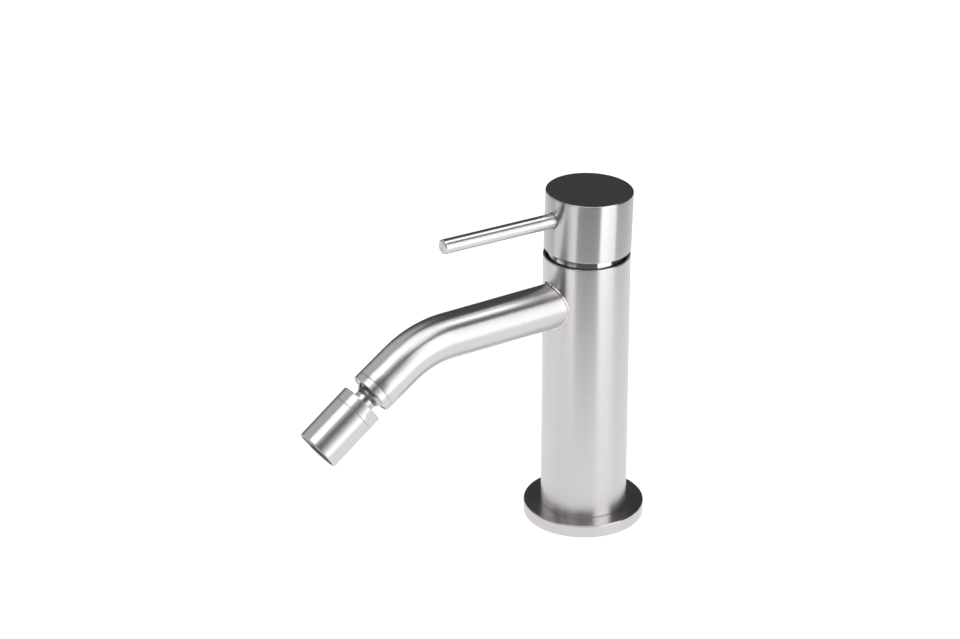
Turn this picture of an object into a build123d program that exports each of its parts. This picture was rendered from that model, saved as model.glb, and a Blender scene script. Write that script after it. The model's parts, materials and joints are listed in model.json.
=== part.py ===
from build123d import *
import os
from math import cos, radians, sin, sqrt

# Single-lever bidet mixer in millimetres. +Z is up, the spout points along -Y, and the origin is
# the centre of the base flange's underside. Heights are measured from that underside.

# Fits between pieces
joint_clearance = 0.05
running_clearance = 0.06
moving_gap = 0.3
overrun = 1.0

# Column
column_diameter = 42.0
column_wall = 2.0
rim_height = 139.9
rim_chamfer = 0.4
rim_lip_wall = 0.7
rim_pocket_depth = 5.9
foot_chamfer = 0.3
foot_spigot_wall = 1.2

# Base flange and its gasket
flange_overhang = 8.5
flange_thickness = 6.3
flange_chamfer = 0.5
gasket_width_share = 0.38
gasket_thickness = 2.2

# Base block with the two hose ports and the hole for the fixing stud
block_height = 14.0
port_spacing = 16.0
port_setback = 2.2
port_diameter = 9.0
port_depth = 9.0
stud_hole_diameter = 6.8
stud_hole_depth = 11.0
stud_hole_offset = 9.0
hole_mouth_chamfer = 0.5

# Inlet tubes
inlet_tube_diameter = 8.0
inlet_tube_wall = 1.0
inlet_tube_grip = 3.5

# Cartridge seat inside the column
seat_web_thickness = 10.0
seat_cup_wall = 2.2
seat_collar_height = 5.5
seat_outlet_diameter = 6.0
o_ring_section = 1.8
o_ring_groove_width = 2.2
o_ring_groove_depth = 1.85
web_groove_height = 5.0

# Cartridge housing, base and seals
cartridge_diameter = 25.0
housing_wall = 1.2
housing_lip_thickness = 2.3
cartridge_base_height = 7.0
cartridge_base_flange = 1.5
cartridge_port_spacing = 10.0
cartridge_port_setback = 2.2
cartridge_port_diameter = 4.0
cartridge_outlet_offset = 5.0
cartridge_outlet_diameter = 4.4
outlet_channel_height = 3.6
outlet_channel_diameter = 4.0
housing_window_diameter = 4.8
port_seal_wall = 1.0
port_seal_thickness = 1.2
disc_seal_wall = 0.9
disc_seal_thickness = 1.1

# Ceramic discs and their carrier
fixed_disc_diameter = 21.6
fixed_disc_thickness = 3.5
disc_key_width = 3.0
disc_key_depth = 1.6
disc_key_height = 2.4
moving_disc_diameter = 18.0
moving_disc_thickness = 3.0
mixing_pocket_diameter = 15.2
mixing_pocket_depth = 1.6
carrier_thickness = 3.5
carrier_groove_spacing = 13.2
carrier_groove_width = 2.3
carrier_groove_depth = 1.4

# Stem carrier, pivot pin and stem
stem_carrier_flange_diameter = 21.6
stem_carrier_flange_thickness = 3.1
stem_carrier_neck_diameter = 15.2
stem_carrier_top = 6.5
stem_slot_length = 10.0
carrier_lug_length = 8.0
pivot_rise = 2.0
pivot_pin_diameter = 2.5
stem_side = 8.0
stem_square_drop = 2.8
stem_shank_diameter = 5.2
stem_foot_diameter = 4.4
stem_foot_rise = 2.4
foot_neck_share = 0.75

# Cartridge nut and the polished cover ring seen in the gap below the handle
nut_diameter = 28.0
nut_engagement = 3.0
nut_height = 5.0
nut_bore = 19.0
nut_slot_width = 3.0
nut_slot_depth = 1.2
nut_slot_count = 4
cover_slot_width = 1.1
cover_ring_wall = 1.6
cover_ring_floor = 1.8
cover_ring_rise = 2.5
cover_ring_chamfer = 0.3

# Handle cap, lever and grub screw
handle_gap = 3.2
handle_height = 29.2
handle_top_chamfer = 0.4
handle_bottom_chamfer = 0.3
handle_skirt_wall = 1.2
handle_cavity_depth = 5.0
stem_socket_depth = 16.5
lever_diameter = 7.2
lever_height = 17.7
lever_reach = 82.5
lever_tip_chamfer = 0.5
lever_hole_clearance = 0.35
lever_hole_depth = 2.5
lever_thread_diameter = 6.0
lever_thread_length = 7.0
grub_screw_length = 6.0
grub_socket_width = 3.0
grub_socket_depth = 2.5
handle_rest_lift = 1.76

# Spout
spout_drop = 23.0
spout_diameter = 22.0
spout_wall = 1.5
bend_reach = 93.6
bend_radius = 46.0
bend_angle = 33.9
spout_end_length = 30.2
weld_leg = 1.0

# Swivel joint at the spout's end, measured from the ball's centre along the spout
ball_diameter = 16.0
ball_centre_inset = 0.8
end_ring_length = 3.8
end_ring_chamfer = 0.3
end_ring_spigot_length = 5.0
end_ring_land_width = 1.2
end_ring_groove_width = 0.8
end_ring_groove_depth = 0.9
end_ring_step = 0.3
seat_front_length = 2.5
seat_back_length = 4.0
seat_bore = 10.4
seat_collar_gap = 0.1
spring_ring_length = 2.0
spring_ring_bore = 12.0
stop_ring_length = 1.5
stop_ring_bore = 13.0
ball_inlet_inset = 1.4
swivel_bore = 6.0
neck_diameter = 10.7
neck_spigot_diameter = 9.2
neck_spigot_length = 4.9

# Aerator, measured from the ball's centre along its own axis
aerator_rest_tilt = 2.05
aerator_diameter = 22.0
collar_distance = 8.7
collar_height = 6.4
collar_chamfer = 0.4
collar_flat_depth = 0.55
collar_flat_height = 4.2
collar_spigot_diameter = 18.8
collar_spigot_length = 5.5
collar_chamber_diameter = 13.6
sleeve_length = 24.2
sleeve_chamfer = 0.3
outlet_wall = 1.0
outlet_recess = 2.0
outlet_lip_width = 0.9
outlet_lip_height = 0.8
aerator_gasket_thickness = 1.8
aerator_insert_wall = 1.0
strainer_thickness = 2.0
strainer_hole_diameter = 1.8
strainer_hole_count = 12
strainer_circle_share = 0.62
grid_thickness = 2.0
grid_cell_width = 1.9
grid_rib = 0.45
grid_rings = 3

# Radii and levels worked out from the sizes above
column_radius = column_diameter / 2
column_bore = column_radius - column_wall
spigot_radius = column_bore + foot_spigot_wall
flange_radius = column_radius + flange_overhang
flange_bore = spigot_radius + joint_clearance
rim_pocket_radius = column_radius - rim_lip_wall
cover_ring_radius = rim_pocket_radius - cover_slot_width
seat_top = rim_height - rim_pocket_depth
housing_top = seat_top - nut_engagement
stem_carrier_ledge = housing_top - housing_lip_thickness - moving_gap
stem_carrier_foot = stem_carrier_ledge - stem_carrier_flange_thickness
carrier_top = stem_carrier_foot - moving_gap
carrier_foot = carrier_top - carrier_thickness
fixed_disc_top = carrier_foot - moving_disc_thickness
cartridge_base_top = fixed_disc_top - fixed_disc_thickness
cartridge_foot = cartridge_base_top - cartridge_base_height
seat_foot = cartridge_foot - seat_web_thickness
seat_collar_foot = seat_top - seat_collar_height
seat_radius = column_bore - joint_clearance
cartridge_radius = cartridge_diameter / 2
cup_radius = cartridge_radius + joint_clearance
housing_bore = cartridge_radius - housing_wall
pivot_height = housing_top + pivot_rise
foot_height = carrier_foot + stem_foot_rise
foot_arm = pivot_height - foot_height
carrier_shift = foot_arm * sin(radians(handle_rest_lift))
outlet_channel = cartridge_foot + outlet_channel_height
handle_foot = rim_height + handle_gap
handle_top = handle_foot + handle_height
handle_roof = handle_foot + handle_cavity_depth
stem_top = handle_roof + stem_socket_depth
lever_axis_height = handle_foot + lever_height
spout_height = rim_height - spout_drop
spout_radius = spout_diameter / 2
spout_bore = spout_radius - spout_wall
ball_radius = ball_diameter / 2
socket_radius = ball_radius + running_clearance
aerator_radius = aerator_diameter / 2
collar_foot = collar_distance + collar_height
collar_spigot_end = collar_foot + collar_spigot_length
insert_top = collar_spigot_end + aerator_gasket_thickness
sleeve_end = collar_foot + sleeve_length
lip_top = sleeve_end - outlet_recess - outlet_lip_height
insert_radius = collar_spigot_diameter / 2

upright = (Align.CENTER, Align.CENTER, Align.MIN)
inlets = [(side * port_spacing / 2, -port_setback) for side in (-1, 1)]
cartridge_inlets = [(side * cartridge_port_spacing / 2, -cartridge_port_setback) for side in (-1, 1)]
cartridge_outlet = (0, cartridge_outlet_offset)

# Places of the tilted groups
handle_place = Pos(0, 0, pivot_height) * Rot(-handle_rest_lift, 0, 0) * Pos(0, 0, -pivot_height)
bend_point = Vector(0, -bend_reach, spout_height)
spout_direction = Vector(0, -cos(radians(bend_angle)), -sin(radians(bend_angle)))
ball_centre = bend_point + spout_direction * (spout_end_length + ball_centre_inset)
spout_end = Plane(origin=ball_centre, x_dir=(1, 0, 0), z_dir=spout_direction)
aerator_angle = radians(bend_angle + aerator_rest_tilt)
aerator_place = Plane(
    origin=ball_centre,
    x_dir=(1, 0, 0),
    z_dir=(0, -cos(aerator_angle), -sin(aerator_angle)),
)


def rod(radius, low, high, at=(0, 0)):
    """Upright cylinder between two heights."""
    return Pos(at[0], at[1], low) * Cylinder(radius, high - low, align=upright)


def turned(*outline):
    """Solid turned about Z from an outline of (radius, height) points."""
    return revolve(Plane.XZ * make_face(Polyline(*outline, close=True)), Axis.Z)


def ring(outer, inner, low, high):
    """Plain ring about Z between two heights."""
    return turned((inner, low), (outer, low), (outer, high), (inner, high))


def drill(start, direction, radius, length):
    """Cylinder from a point along a direction."""
    return Plane(origin=start, z_dir=direction) * Cylinder(radius, length, align=upright)


def slab(width, depth, low, high, at=(0, 0)):
    """Upright box between two heights."""
    return Pos(at[0], at[1], low) * Box(width, depth, high - low, align=upright)


# Column and base


def body_column():
    """Tube that carries everything, with a foot spigot, a pocket under the rim and the spout's hole."""
    tube = turned(
        (column_bore, 0),
        (spigot_radius, 0),
        (spigot_radius, flange_thickness),
        (column_radius - foot_chamfer, flange_thickness),
        (column_radius, flange_thickness + foot_chamfer),
        (column_radius, rim_height - rim_chamfer),
        (column_radius - rim_chamfer, rim_height),
        (rim_pocket_radius, rim_height),
        (rim_pocket_radius, seat_top),
        (column_bore, seat_top),
    )
    hole = drill((0, 0, spout_height), (0, -1, 0), spout_radius + joint_clearance, column_diameter)
    return tube - hole


def base_flange():
    """Round flange that the column's shoulder clamps, grooved underneath for the gasket."""
    disc = turned(
        (flange_bore, 0),
        (flange_radius - foot_chamfer, 0),
        (flange_radius, foot_chamfer),
        (flange_radius, flange_thickness - flange_chamfer),
        (flange_radius - flange_chamfer, flange_thickness),
        (flange_bore, flange_thickness),
    )
    return disc - base_gasket()


def base_gasket():
    """Flat rubber ring halfway across the flange, flush with its underside."""
    middle = (flange_radius + flange_bore) / 2
    half = (flange_radius - flange_bore) * gasket_width_share / 2
    return ring(middle + half, middle - half, 0, gasket_thickness)


def port_cut(at, radius, depth):
    """Blind hole from the underside with a chamfered mouth."""
    mouth = turned((0, 0), (radius + hole_mouth_chamfer, 0), (radius, hole_mouth_chamfer), (0, hole_mouth_chamfer))
    return rod(radius, 0, depth, at) + Pos(at[0], at[1], 0) * mouth


def base_block():
    """Block in the column's foot: two hose ports, a blind stud hole and sockets for the inlet tubes."""
    block = rod(column_bore - joint_clearance, 0, block_height)
    tube_radius = inlet_tube_diameter / 2
    for at in inlets:
        block -= port_cut(at, port_diameter / 2, port_depth)
        block -= rod(tube_radius - inlet_tube_wall, 0, block_height, at)
        block -= rod(tube_radius + joint_clearance, block_height - inlet_tube_grip, block_height, at)
    return block - port_cut((0, stud_hole_offset), stud_hole_diameter / 2, stud_hole_depth)


def inlet_tube(at):
    """Supply tube from a hose port up to the cartridge seat."""
    radius = inlet_tube_diameter / 2
    low = block_height - inlet_tube_grip
    high = seat_foot + inlet_tube_grip
    return rod(radius, low, high, at) - rod(radius - inlet_tube_wall, low, high, at)


# Cartridge seat


def o_ring_groove(height):
    """Groove round the cartridge seat, centred at a height."""
    half = o_ring_groove_width / 2
    return ring(seat_radius + overrun, column_bore - o_ring_groove_depth, height - half, height + half)


def o_ring_heights():
    """Heights of the two seals that close the water space round the cartridge cup."""
    return (seat_foot + web_groove_height, (seat_collar_foot + seat_top) / 2)


def cartridge_seat():
    """Turned block inside the column: a web below, a cup for the cartridge and a sealing collar."""
    wall = cup_radius + seat_cup_wall
    seat = turned(
        (0, seat_foot),
        (seat_radius, seat_foot),
        (seat_radius, cartridge_foot),
        (wall, cartridge_foot),
        (wall, seat_collar_foot),
        (seat_radius, seat_collar_foot),
        (seat_radius, seat_top),
        (nut_diameter / 2, seat_top),
        (nut_diameter / 2, housing_top),
        (cup_radius, housing_top),
        (cup_radius, cartridge_foot),
        (0, cartridge_foot),
    )
    for height in o_ring_heights():
        seat -= o_ring_groove(height)
    for at in inlets:
        socket = inlet_tube_diameter / 2 + joint_clearance
        seat -= rod(socket, seat_foot, seat_foot + inlet_tube_grip, at)
        seat -= rod(socket - inlet_tube_wall, seat_foot, cartridge_foot - seat_web_thickness / 2, at)
    for at in cartridge_inlets:
        seat -= rod(cartridge_port_diameter / 2, seat_foot + inlet_tube_grip, cartridge_foot, at)
    window = drill((0, 0, outlet_channel), (0, 1, 0), seat_outlet_diameter / 2, wall + overrun)
    return seat - window


def seat_o_rings():
    """Two round seals between the cartridge seat and the column."""
    section = o_ring_section / 2
    centre = column_bore - section
    return Compound(children=[Pos(0, 0, height) * Torus(centre, section) for height in o_ring_heights()])


# Cartridge


def cartridge_base():
    """Lower half of the cartridge: two inlets from below and an outlet out of its side."""
    bore = housing_bore - joint_clearance
    flange_top = cartridge_foot + cartridge_base_flange
    base = rod(cartridge_radius, cartridge_foot, flange_top)
    base += rod(bore, flange_top, cartridge_base_top)
    for side in (-1, 1):
        base += disc_key(side)
    for at in cartridge_inlets:
        base -= rod(cartridge_port_diameter / 2, cartridge_foot, cartridge_base_top, at)
        base -= rod(port_seal_radius(), cartridge_foot, cartridge_foot + port_seal_thickness, at)
    base -= rod(cartridge_outlet_diameter / 2, outlet_channel, cartridge_base_top, cartridge_outlet)
    base -= drill((0, cartridge_outlet_offset, outlet_channel), (0, 1, 0), outlet_channel_diameter / 2, cartridge_radius)
    for at in disc_ports():
        base -= rod(disc_seal_radius(at), cartridge_base_top - disc_seal_thickness, cartridge_base_top, at)
    return base


def port_seal_radius():
    """Outer radius of a seal under an inlet."""
    return cartridge_port_diameter / 2 + port_seal_wall


def disc_ports():
    """Centres of the three holes through the base and the fixed disc."""
    return [*cartridge_inlets, cartridge_outlet]


def disc_hole(at):
    """Radius of the hole at one of those centres."""
    return (cartridge_outlet_diameter if at == cartridge_outlet else cartridge_port_diameter) / 2


def disc_seal_radius(at):
    """Outer radius of the seal under the fixed disc at a hole."""
    return disc_hole(at) + disc_seal_wall


def disc_key(side, clearance=0.0):
    """Lug that stands on the base and stops the fixed disc from turning."""
    outer = fixed_disc_diameter / 2
    block = slab(
        2 * disc_key_depth + 2 * clearance,
        disc_key_width + 2 * clearance,
        cartridge_base_top,
        cartridge_base_top + disc_key_height + clearance,
        (side * outer, 0),
    )
    return block & rod(outer + clearance, cartridge_base_top, fixed_disc_top)


def cartridge_port_seals():
    """Two rubber rings between the cartridge and its seat."""
    shapes = []
    for at in cartridge_inlets:
        outer = rod(port_seal_radius(), cartridge_foot, cartridge_foot + port_seal_thickness, at)
        shapes.append(outer - rod(cartridge_port_diameter / 2, cartridge_foot, cartridge_foot + port_seal_thickness, at))
    return Compound(children=shapes)


def cartridge_disc_seals():
    """Three rubber rings between the base and the fixed disc."""
    shapes = []
    low = cartridge_base_top - disc_seal_thickness
    for at in disc_ports():
        outer = rod(disc_seal_radius(at), low, cartridge_base_top, at)
        shapes.append(outer - rod(disc_hole(at), low, cartridge_base_top, at))
    return Compound(children=shapes)


def cartridge_housing():
    """Shell over the discs, with a lip that the nut presses on and a window for the outlet."""
    low = cartridge_foot + cartridge_base_flange
    lip = housing_top - housing_lip_thickness
    neck = stem_carrier_neck_diameter / 2 + moving_gap
    shell = turned(
        (housing_bore, low),
        (cartridge_radius, low),
        (cartridge_radius, housing_top),
        (neck, housing_top),
        (neck, lip),
        (housing_bore, lip),
    )
    window = drill((0, 0, outlet_channel), (0, 1, 0), housing_window_diameter / 2, cartridge_diameter)
    return shell - window


def fixed_disc():
    """Ceramic disc with two inlet holes, an outlet hole and notches for the base's keys."""
    disc = rod(fixed_disc_diameter / 2, cartridge_base_top, fixed_disc_top)
    for at in disc_ports():
        disc -= rod(disc_hole(at), cartridge_base_top, fixed_disc_top, at)
    for side in (-1, 1):
        disc -= disc_key(side, joint_clearance)
    return disc


def moving_disc():
    """Ceramic disc with a D-shaped mixing pocket in its underside."""
    disc = rod(moving_disc_diameter / 2, fixed_disc_top, carrier_foot)
    pocket = rod(mixing_pocket_diameter / 2, fixed_disc_top, fixed_disc_top + mixing_pocket_depth)
    pocket &= slab(
        mixing_pocket_diameter,
        mixing_pocket_diameter,
        fixed_disc_top,
        carrier_foot,
        (0, mixing_pocket_diameter / 2),
    )
    return Pos(0, -carrier_shift, 0) * (disc - pocket)


def disc_carrier():
    """Plastic slide on the moving disc: a socket for the stem's foot and two guide grooves."""
    carrier = rod(moving_disc_diameter / 2, carrier_foot, carrier_top)
    carrier -= rod(stem_foot_diameter / 2 + running_clearance, carrier_foot, carrier_top)
    for side in (-1, 1):
        groove_at = (side * carrier_groove_spacing / 2, 0)
        carrier -= slab(
            carrier_groove_width,
            moving_disc_diameter,
            carrier_top - carrier_groove_depth,
            carrier_top,
            groove_at,
        )
    return Pos(0, -carrier_shift, 0) * carrier


def stem_carrier():
    """Plastic rotor that turns with the stem, slides the disc carrier and holds the pivot pin."""
    neck_radius = stem_carrier_neck_diameter / 2
    rotor = rod(stem_carrier_flange_diameter / 2, stem_carrier_foot, stem_carrier_ledge)
    rotor += rod(neck_radius, stem_carrier_ledge, housing_top + stem_carrier_top)
    for side in (-1, 1):
        lug_at = (side * carrier_groove_spacing / 2, 0)
        lug_foot = carrier_top - carrier_groove_depth + moving_gap
        rotor += slab(carrier_groove_width - 2 * moving_gap, carrier_lug_length, lug_foot, stem_carrier_foot, lug_at)
    slot_width = stem_side + 2 * joint_clearance + moving_gap / 2
    rotor -= slab(slot_width, stem_slot_length, stem_carrier_foot, housing_top + stem_carrier_top)
    pin_start = (-column_radius, 0, pivot_height)
    return rotor - drill(pin_start, (1, 0, 0), pivot_pin_diameter / 2, column_diameter)


def stem_pivot_pin():
    """Steel pin across the stem carrier."""
    radius = pivot_pin_diameter / 2
    half = sqrt((stem_carrier_neck_diameter / 2) ** 2 - radius**2)
    return drill((-half, 0, pivot_height), (1, 0, 0), radius, 2 * half)


def cartridge_stem():
    """Square stem that tilts on the pin, with a round shank and a ball foot below."""
    square_foot = pivot_height - stem_square_drop
    stem = slab(stem_side, stem_side, square_foot, stem_top)
    stem += rod(stem_shank_diameter / 2, foot_height, square_foot)
    foot = Pos(0, 0, foot_height) * Sphere(stem_foot_diameter / 2)
    shank_end = foot_height + stem_foot_diameter / 2
    stem -= ring(stem_shank_diameter, stem_foot_diameter * foot_neck_share / 2, foot_height, shank_end)
    stem += foot
    pin_hole = pivot_pin_diameter / 2 + joint_clearance
    stem -= drill((-stem_side, 0, pivot_height), (1, 0, 0), pin_hole, 2 * stem_side)
    return handle_place * stem


def cartridge_nut():
    """Threaded ring that clamps the cartridge, slotted on top for a spanner."""
    top = housing_top + nut_height
    nut = ring(nut_diameter / 2 - joint_clearance, nut_bore / 2, housing_top, top)
    for turn in range(nut_slot_count // 2):
        angle = turn * 360 / nut_slot_count
        nut -= Rot(0, 0, angle) * slab(nut_diameter, nut_slot_width, top - nut_slot_depth, top)
    return nut


def cover_ring():
    """Polished ring that hides the cartridge nut and shows in the gap below the handle."""
    outer = cover_ring_radius
    inner = outer - cover_ring_wall
    top = rim_height + cover_ring_rise
    floor = seat_top + cover_ring_floor
    return turned(
        (nut_diameter / 2, seat_top),
        (outer, seat_top),
        (outer, top - cover_ring_chamfer),
        (outer - cover_ring_chamfer, top),
        (inner, top),
        (inner, floor),
        (nut_diameter / 2, floor),
    )


# Handle


def handle_cap():
    """Solid cap with a shallow cavity below, a square socket for the stem and the lever's hole."""
    cavity = column_radius - handle_skirt_wall
    cap = turned(
        (0, handle_roof),
        (cavity, handle_roof),
        (cavity, handle_foot),
        (column_radius - handle_bottom_chamfer, handle_foot),
        (column_radius, handle_foot + handle_bottom_chamfer),
        (column_radius, handle_top - handle_top_chamfer),
        (column_radius - handle_top_chamfer, handle_top),
        (0, handle_top),
    )
    socket = stem_side + 2 * joint_clearance
    cap -= slab(socket, socket, handle_roof, stem_top + joint_clearance)
    bore = drill((0, 0, lever_axis_height), (0, -1, 0), lever_thread_diameter / 2, column_radius)
    mouth = drill(
        (0, -column_radius + lever_hole_depth, lever_axis_height),
        (0, -1, 0),
        lever_diameter / 2 + lever_hole_clearance,
        column_radius,
    )
    return handle_place * (cap - bore - mouth)


def along_lever(shape):
    """Moves a shape turned about Z onto the lever's axis."""
    return handle_place * (Plane(origin=(0, 0, lever_axis_height), x_dir=(1, 0, 0), z_dir=(0, -1, 0)) * shape)


def lever_rod():
    """Round lever with a threaded end that screws into the cap."""
    radius = lever_diameter / 2
    thread = lever_thread_diameter / 2 - joint_clearance
    shoulder = column_radius - lever_hole_depth + joint_clearance
    return along_lever(
        turned(
            (0, shoulder - lever_thread_length),
            (thread, shoulder - lever_thread_length),
            (thread, shoulder),
            (radius, shoulder),
            (radius, lever_reach - lever_tip_chamfer),
            (radius - lever_tip_chamfer, lever_reach),
            (0, lever_reach),
        )
    )


def handle_grub_screw():
    """Socket screw behind the lever's thread that clamps the stem."""
    start = stem_side / 2 + joint_clearance
    end = start + grub_screw_length
    screw = rod(lever_thread_diameter / 2 - joint_clearance, start, end)
    socket = extrude(
        Plane.XY.offset(end - grub_socket_depth) * RegularPolygon(grub_socket_width / 2, 6, major_radius=False),
        grub_socket_depth,
    )
    return along_lever(screw - socket)


# Spout


def spout_path():
    """Centre line of the spout from inside the column to its end ring."""
    end = spout_direction * spout_end_length + bend_point
    corners = [(-column_bore / 2, spout_height), (bend_point.Y, bend_point.Z), (end.Y, end.Z)]
    return Plane.YZ * FilletPolyline(*corners, radius=bend_radius)


def swept(radius):
    """Round bar along the spout's centre line."""
    path = spout_path()
    return sweep(Plane(origin=path @ 0, z_dir=path % 0) * Circle(radius), path=path)


def spout_tube():
    """Bent tube, its inner end coped to the column's bore."""
    tube = swept(spout_radius) - swept(spout_bore)
    return tube - rod(column_bore, 0, rim_height)


def spout_weld():
    """Polished weld bead where the spout meets the column."""
    column = rod(column_radius, spout_height - spout_diameter, spout_height + spout_diameter)
    branch = drill((0, 0, spout_height), (0, -1, 0), spout_radius, column_diameter)
    joined = column + branch
    seam = joined.edges().filter_by(lambda edge: edge.geom_type not in (GeomType.LINE, GeomType.CIRCLE))
    return chamfer(seam, weld_leg) - column - branch


# Swivel joint


def spout_end_ring():
    """Screwed ring that holds the ball: a spherical lip inside and a grooved face round the neck."""
    back = -ball_centre_inset
    face = back + end_ring_length
    thread = spout_bore - joint_clearance
    land = spout_radius - end_ring_land_width
    groove = land - end_ring_groove_width
    step = face - end_ring_step
    body = turned(
        (socket_radius + running_clearance, back - end_ring_spigot_length),
        (thread, back - end_ring_spigot_length),
        (thread, back),
        (spout_radius, back),
        (spout_radius, face - end_ring_chamfer),
        (spout_radius - end_ring_chamfer, face),
        (land, face),
        (land, face - end_ring_groove_depth),
        (groove, face - end_ring_groove_depth),
        (groove, step),
        (neck_diameter / 2, step),
        (neck_diameter / 2, 0),
        (socket_radius + running_clearance, 0),
    )
    return spout_end * (body - Sphere(socket_radius))


def ball_seat():
    """Slippery ring behind the ball, free to turn in the spout's end."""
    step = -ball_centre_inset - end_ring_spigot_length - seat_collar_gap
    seat = turned(
        (seat_bore / 2, step - seat_back_length),
        (spout_bore - running_clearance, step - seat_back_length),
        (spout_bore - running_clearance, step),
        (socket_radius - running_clearance, step),
        (socket_radius - running_clearance, step + seat_front_length),
        (seat_bore / 2, step + seat_front_length),
    )
    return spout_end * (seat - Sphere(socket_radius))


def ball_seat_back():
    """Level of the ball seat's back face along the spout."""
    return -ball_centre_inset - end_ring_spigot_length - seat_collar_gap - seat_back_length


def seat_spring_ring():
    """Rubber ring that presses the seat against the ball."""
    high = ball_seat_back()
    return spout_end * ring(spout_bore - joint_clearance, spring_ring_bore / 2, high - spring_ring_length, high)


def seat_stop_ring():
    """Ring brazed into the spout that the rubber ring leans on."""
    high = ball_seat_back() - spring_ring_length
    return spout_end * ring(spout_bore - joint_clearance, stop_ring_bore / 2, high - stop_ring_length, high)


def swivel_ball():
    """Ball and neck in one piece, bored for the water and threaded into the collar."""
    ball = Sphere(ball_radius) & rod(ball_radius, ball_inlet_inset - ball_radius, ball_radius)
    ball += rod(neck_diameter / 2, 0, collar_distance)
    ball += rod(neck_spigot_diameter / 2, collar_distance, collar_distance + neck_spigot_length)
    bore = rod(swivel_bore / 2, -ball_radius, collar_distance + neck_spigot_length)
    return aerator_place * (ball - bore)


# Aerator


def aerator_collar():
    """Collar screwed onto the neck, with two spanner flats and a spigot for the sleeve."""
    bore = neck_spigot_diameter / 2 + joint_clearance
    chamber = collar_chamber_diameter / 2
    chamber_top = collar_distance + neck_spigot_length
    spigot = insert_radius
    collar = turned(
        (bore, collar_distance),
        (aerator_radius - collar_chamfer, collar_distance),
        (aerator_radius, collar_distance + collar_chamfer),
        (aerator_radius, collar_foot),
        (spigot, collar_foot),
        (spigot, collar_spigot_end),
        (chamber, collar_spigot_end),
        (chamber, chamber_top),
        (bore, chamber_top),
    )
    flat_at = aerator_radius - collar_flat_depth
    for side in (-1, 1):
        collar -= slab(
            2 * collar_flat_depth,
            aerator_diameter,
            collar_distance,
            collar_distance + collar_flat_height,
            (side * (flat_at + collar_flat_depth), 0),
        )
    return aerator_place * collar


def aerator_sleeve():
    """Outer sleeve with a thin outlet rim and a lip that holds the insert."""
    bore = insert_radius + joint_clearance
    mouth = aerator_radius - outlet_wall
    sleeve = turned(
        (bore, collar_foot),
        (aerator_radius, collar_foot),
        (aerator_radius, sleeve_end - sleeve_chamfer),
        (aerator_radius - sleeve_chamfer, sleeve_end),
        (mouth, sleeve_end),
        (mouth, sleeve_end - outlet_recess),
        (insert_radius - outlet_lip_width, sleeve_end - outlet_recess),
        (insert_radius - outlet_lip_width, lip_top),
        (bore, lip_top),
    )
    return aerator_place * sleeve


def aerator_gasket():
    """Flat washer between the collar and the insert."""
    return aerator_place * ring(insert_radius, collar_chamber_diameter / 2, collar_spigot_end, insert_top)


def aerator_insert():
    """Plastic cup with a ring of strainer holes in its floor."""
    inner = insert_radius - aerator_insert_wall
    cup = rod(insert_radius, insert_top, lip_top) - rod(inner, insert_top + strainer_thickness, lip_top)
    circle = inner * strainer_circle_share
    for number in range(strainer_hole_count):
        hole = rod(strainer_hole_diameter / 2, insert_top, insert_top + strainer_thickness, (circle, 0))
        cup -= Rot(0, 0, number * 360 / strainer_hole_count) * hole
    return aerator_place * cup


def aerator_grid():
    """Honeycomb disc that smooths the stream, in hexagonal rings round a centre cell."""
    radius = insert_radius - aerator_insert_wall - joint_clearance
    disc = rod(radius, lip_top - grid_thickness, lip_top)
    pitch = grid_cell_width + grid_rib
    places = []
    for row in range(-grid_rings, grid_rings + 1):
        for column in range(-grid_rings, grid_rings + 1):
            if abs(row + column) <= grid_rings:
                places.append(Pos((column + row / 2) * pitch, row * pitch * sqrt(3) / 2))
    cell = Rot(0, 0, 30) * RegularPolygon(grid_cell_width / 2, 6, major_radius=False)
    cells = Sketch() + [place * cell for place in places]
    return aerator_place * (disc - extrude(Plane.XY.offset(lip_top - grid_thickness) * cells, grid_thickness))


pieces = {
    "body_column": body_column(),
    "base_flange": base_flange(),
    "base_gasket": base_gasket(),
    "base_block": base_block(),
    "hot_inlet_tube": inlet_tube(inlets[0]),
    "cold_inlet_tube": inlet_tube(inlets[1]),
    "cartridge_seat": cartridge_seat(),
    "seat_o_rings": seat_o_rings(),
    "cartridge_base": cartridge_base(),
    "cartridge_port_seals": cartridge_port_seals(),
    "cartridge_disc_seals": cartridge_disc_seals(),
    "cartridge_housing": cartridge_housing(),
    "fixed_disc": fixed_disc(),
    "moving_disc": moving_disc(),
    "disc_carrier": disc_carrier(),
    "stem_carrier": stem_carrier(),
    "stem_pivot_pin": stem_pivot_pin(),
    "cartridge_stem": cartridge_stem(),
    "cartridge_nut": cartridge_nut(),
    "cover_ring": cover_ring(),
    "handle_cap": handle_cap(),
    "lever_rod": lever_rod(),
    "handle_grub_screw": handle_grub_screw(),
    "spout_tube": spout_tube(),
    "spout_weld": spout_weld(),
    "spout_end_ring": spout_end_ring(),
    "ball_seat": ball_seat(),
    "seat_spring_ring": seat_spring_ring(),
    "seat_stop_ring": seat_stop_ring(),
    "swivel_ball": swivel_ball(),
    "aerator_collar": aerator_collar(),
    "aerator_gasket": aerator_gasket(),
    "aerator_sleeve": aerator_sleeve(),
    "aerator_insert": aerator_insert(),
    "aerator_grid": aerator_grid(),
}

os.makedirs("parts", exist_ok=True)
for name, piece in pieces.items():
    export_step(piece, f"parts/{name}.step")
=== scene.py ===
"""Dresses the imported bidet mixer: smooth turned and bent pieces in brushed steel, on a pale floor.

Sizes are in millimetres and degrees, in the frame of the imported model: the origin is the centre of the base
flange's underside, +Z is up and the spout points along -Y. Each piece is made in millimetres and scaled to
metres when it is placed. The floor, the room and the lamps are made in metres.
"""

from __future__ import annotations

import json
import logging
import math
from collections.abc import Sequence
from dataclasses import dataclass, field
from enum import Enum
from functools import cache

import bmesh
import bpy
from mathutils import Matrix, Vector

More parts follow.
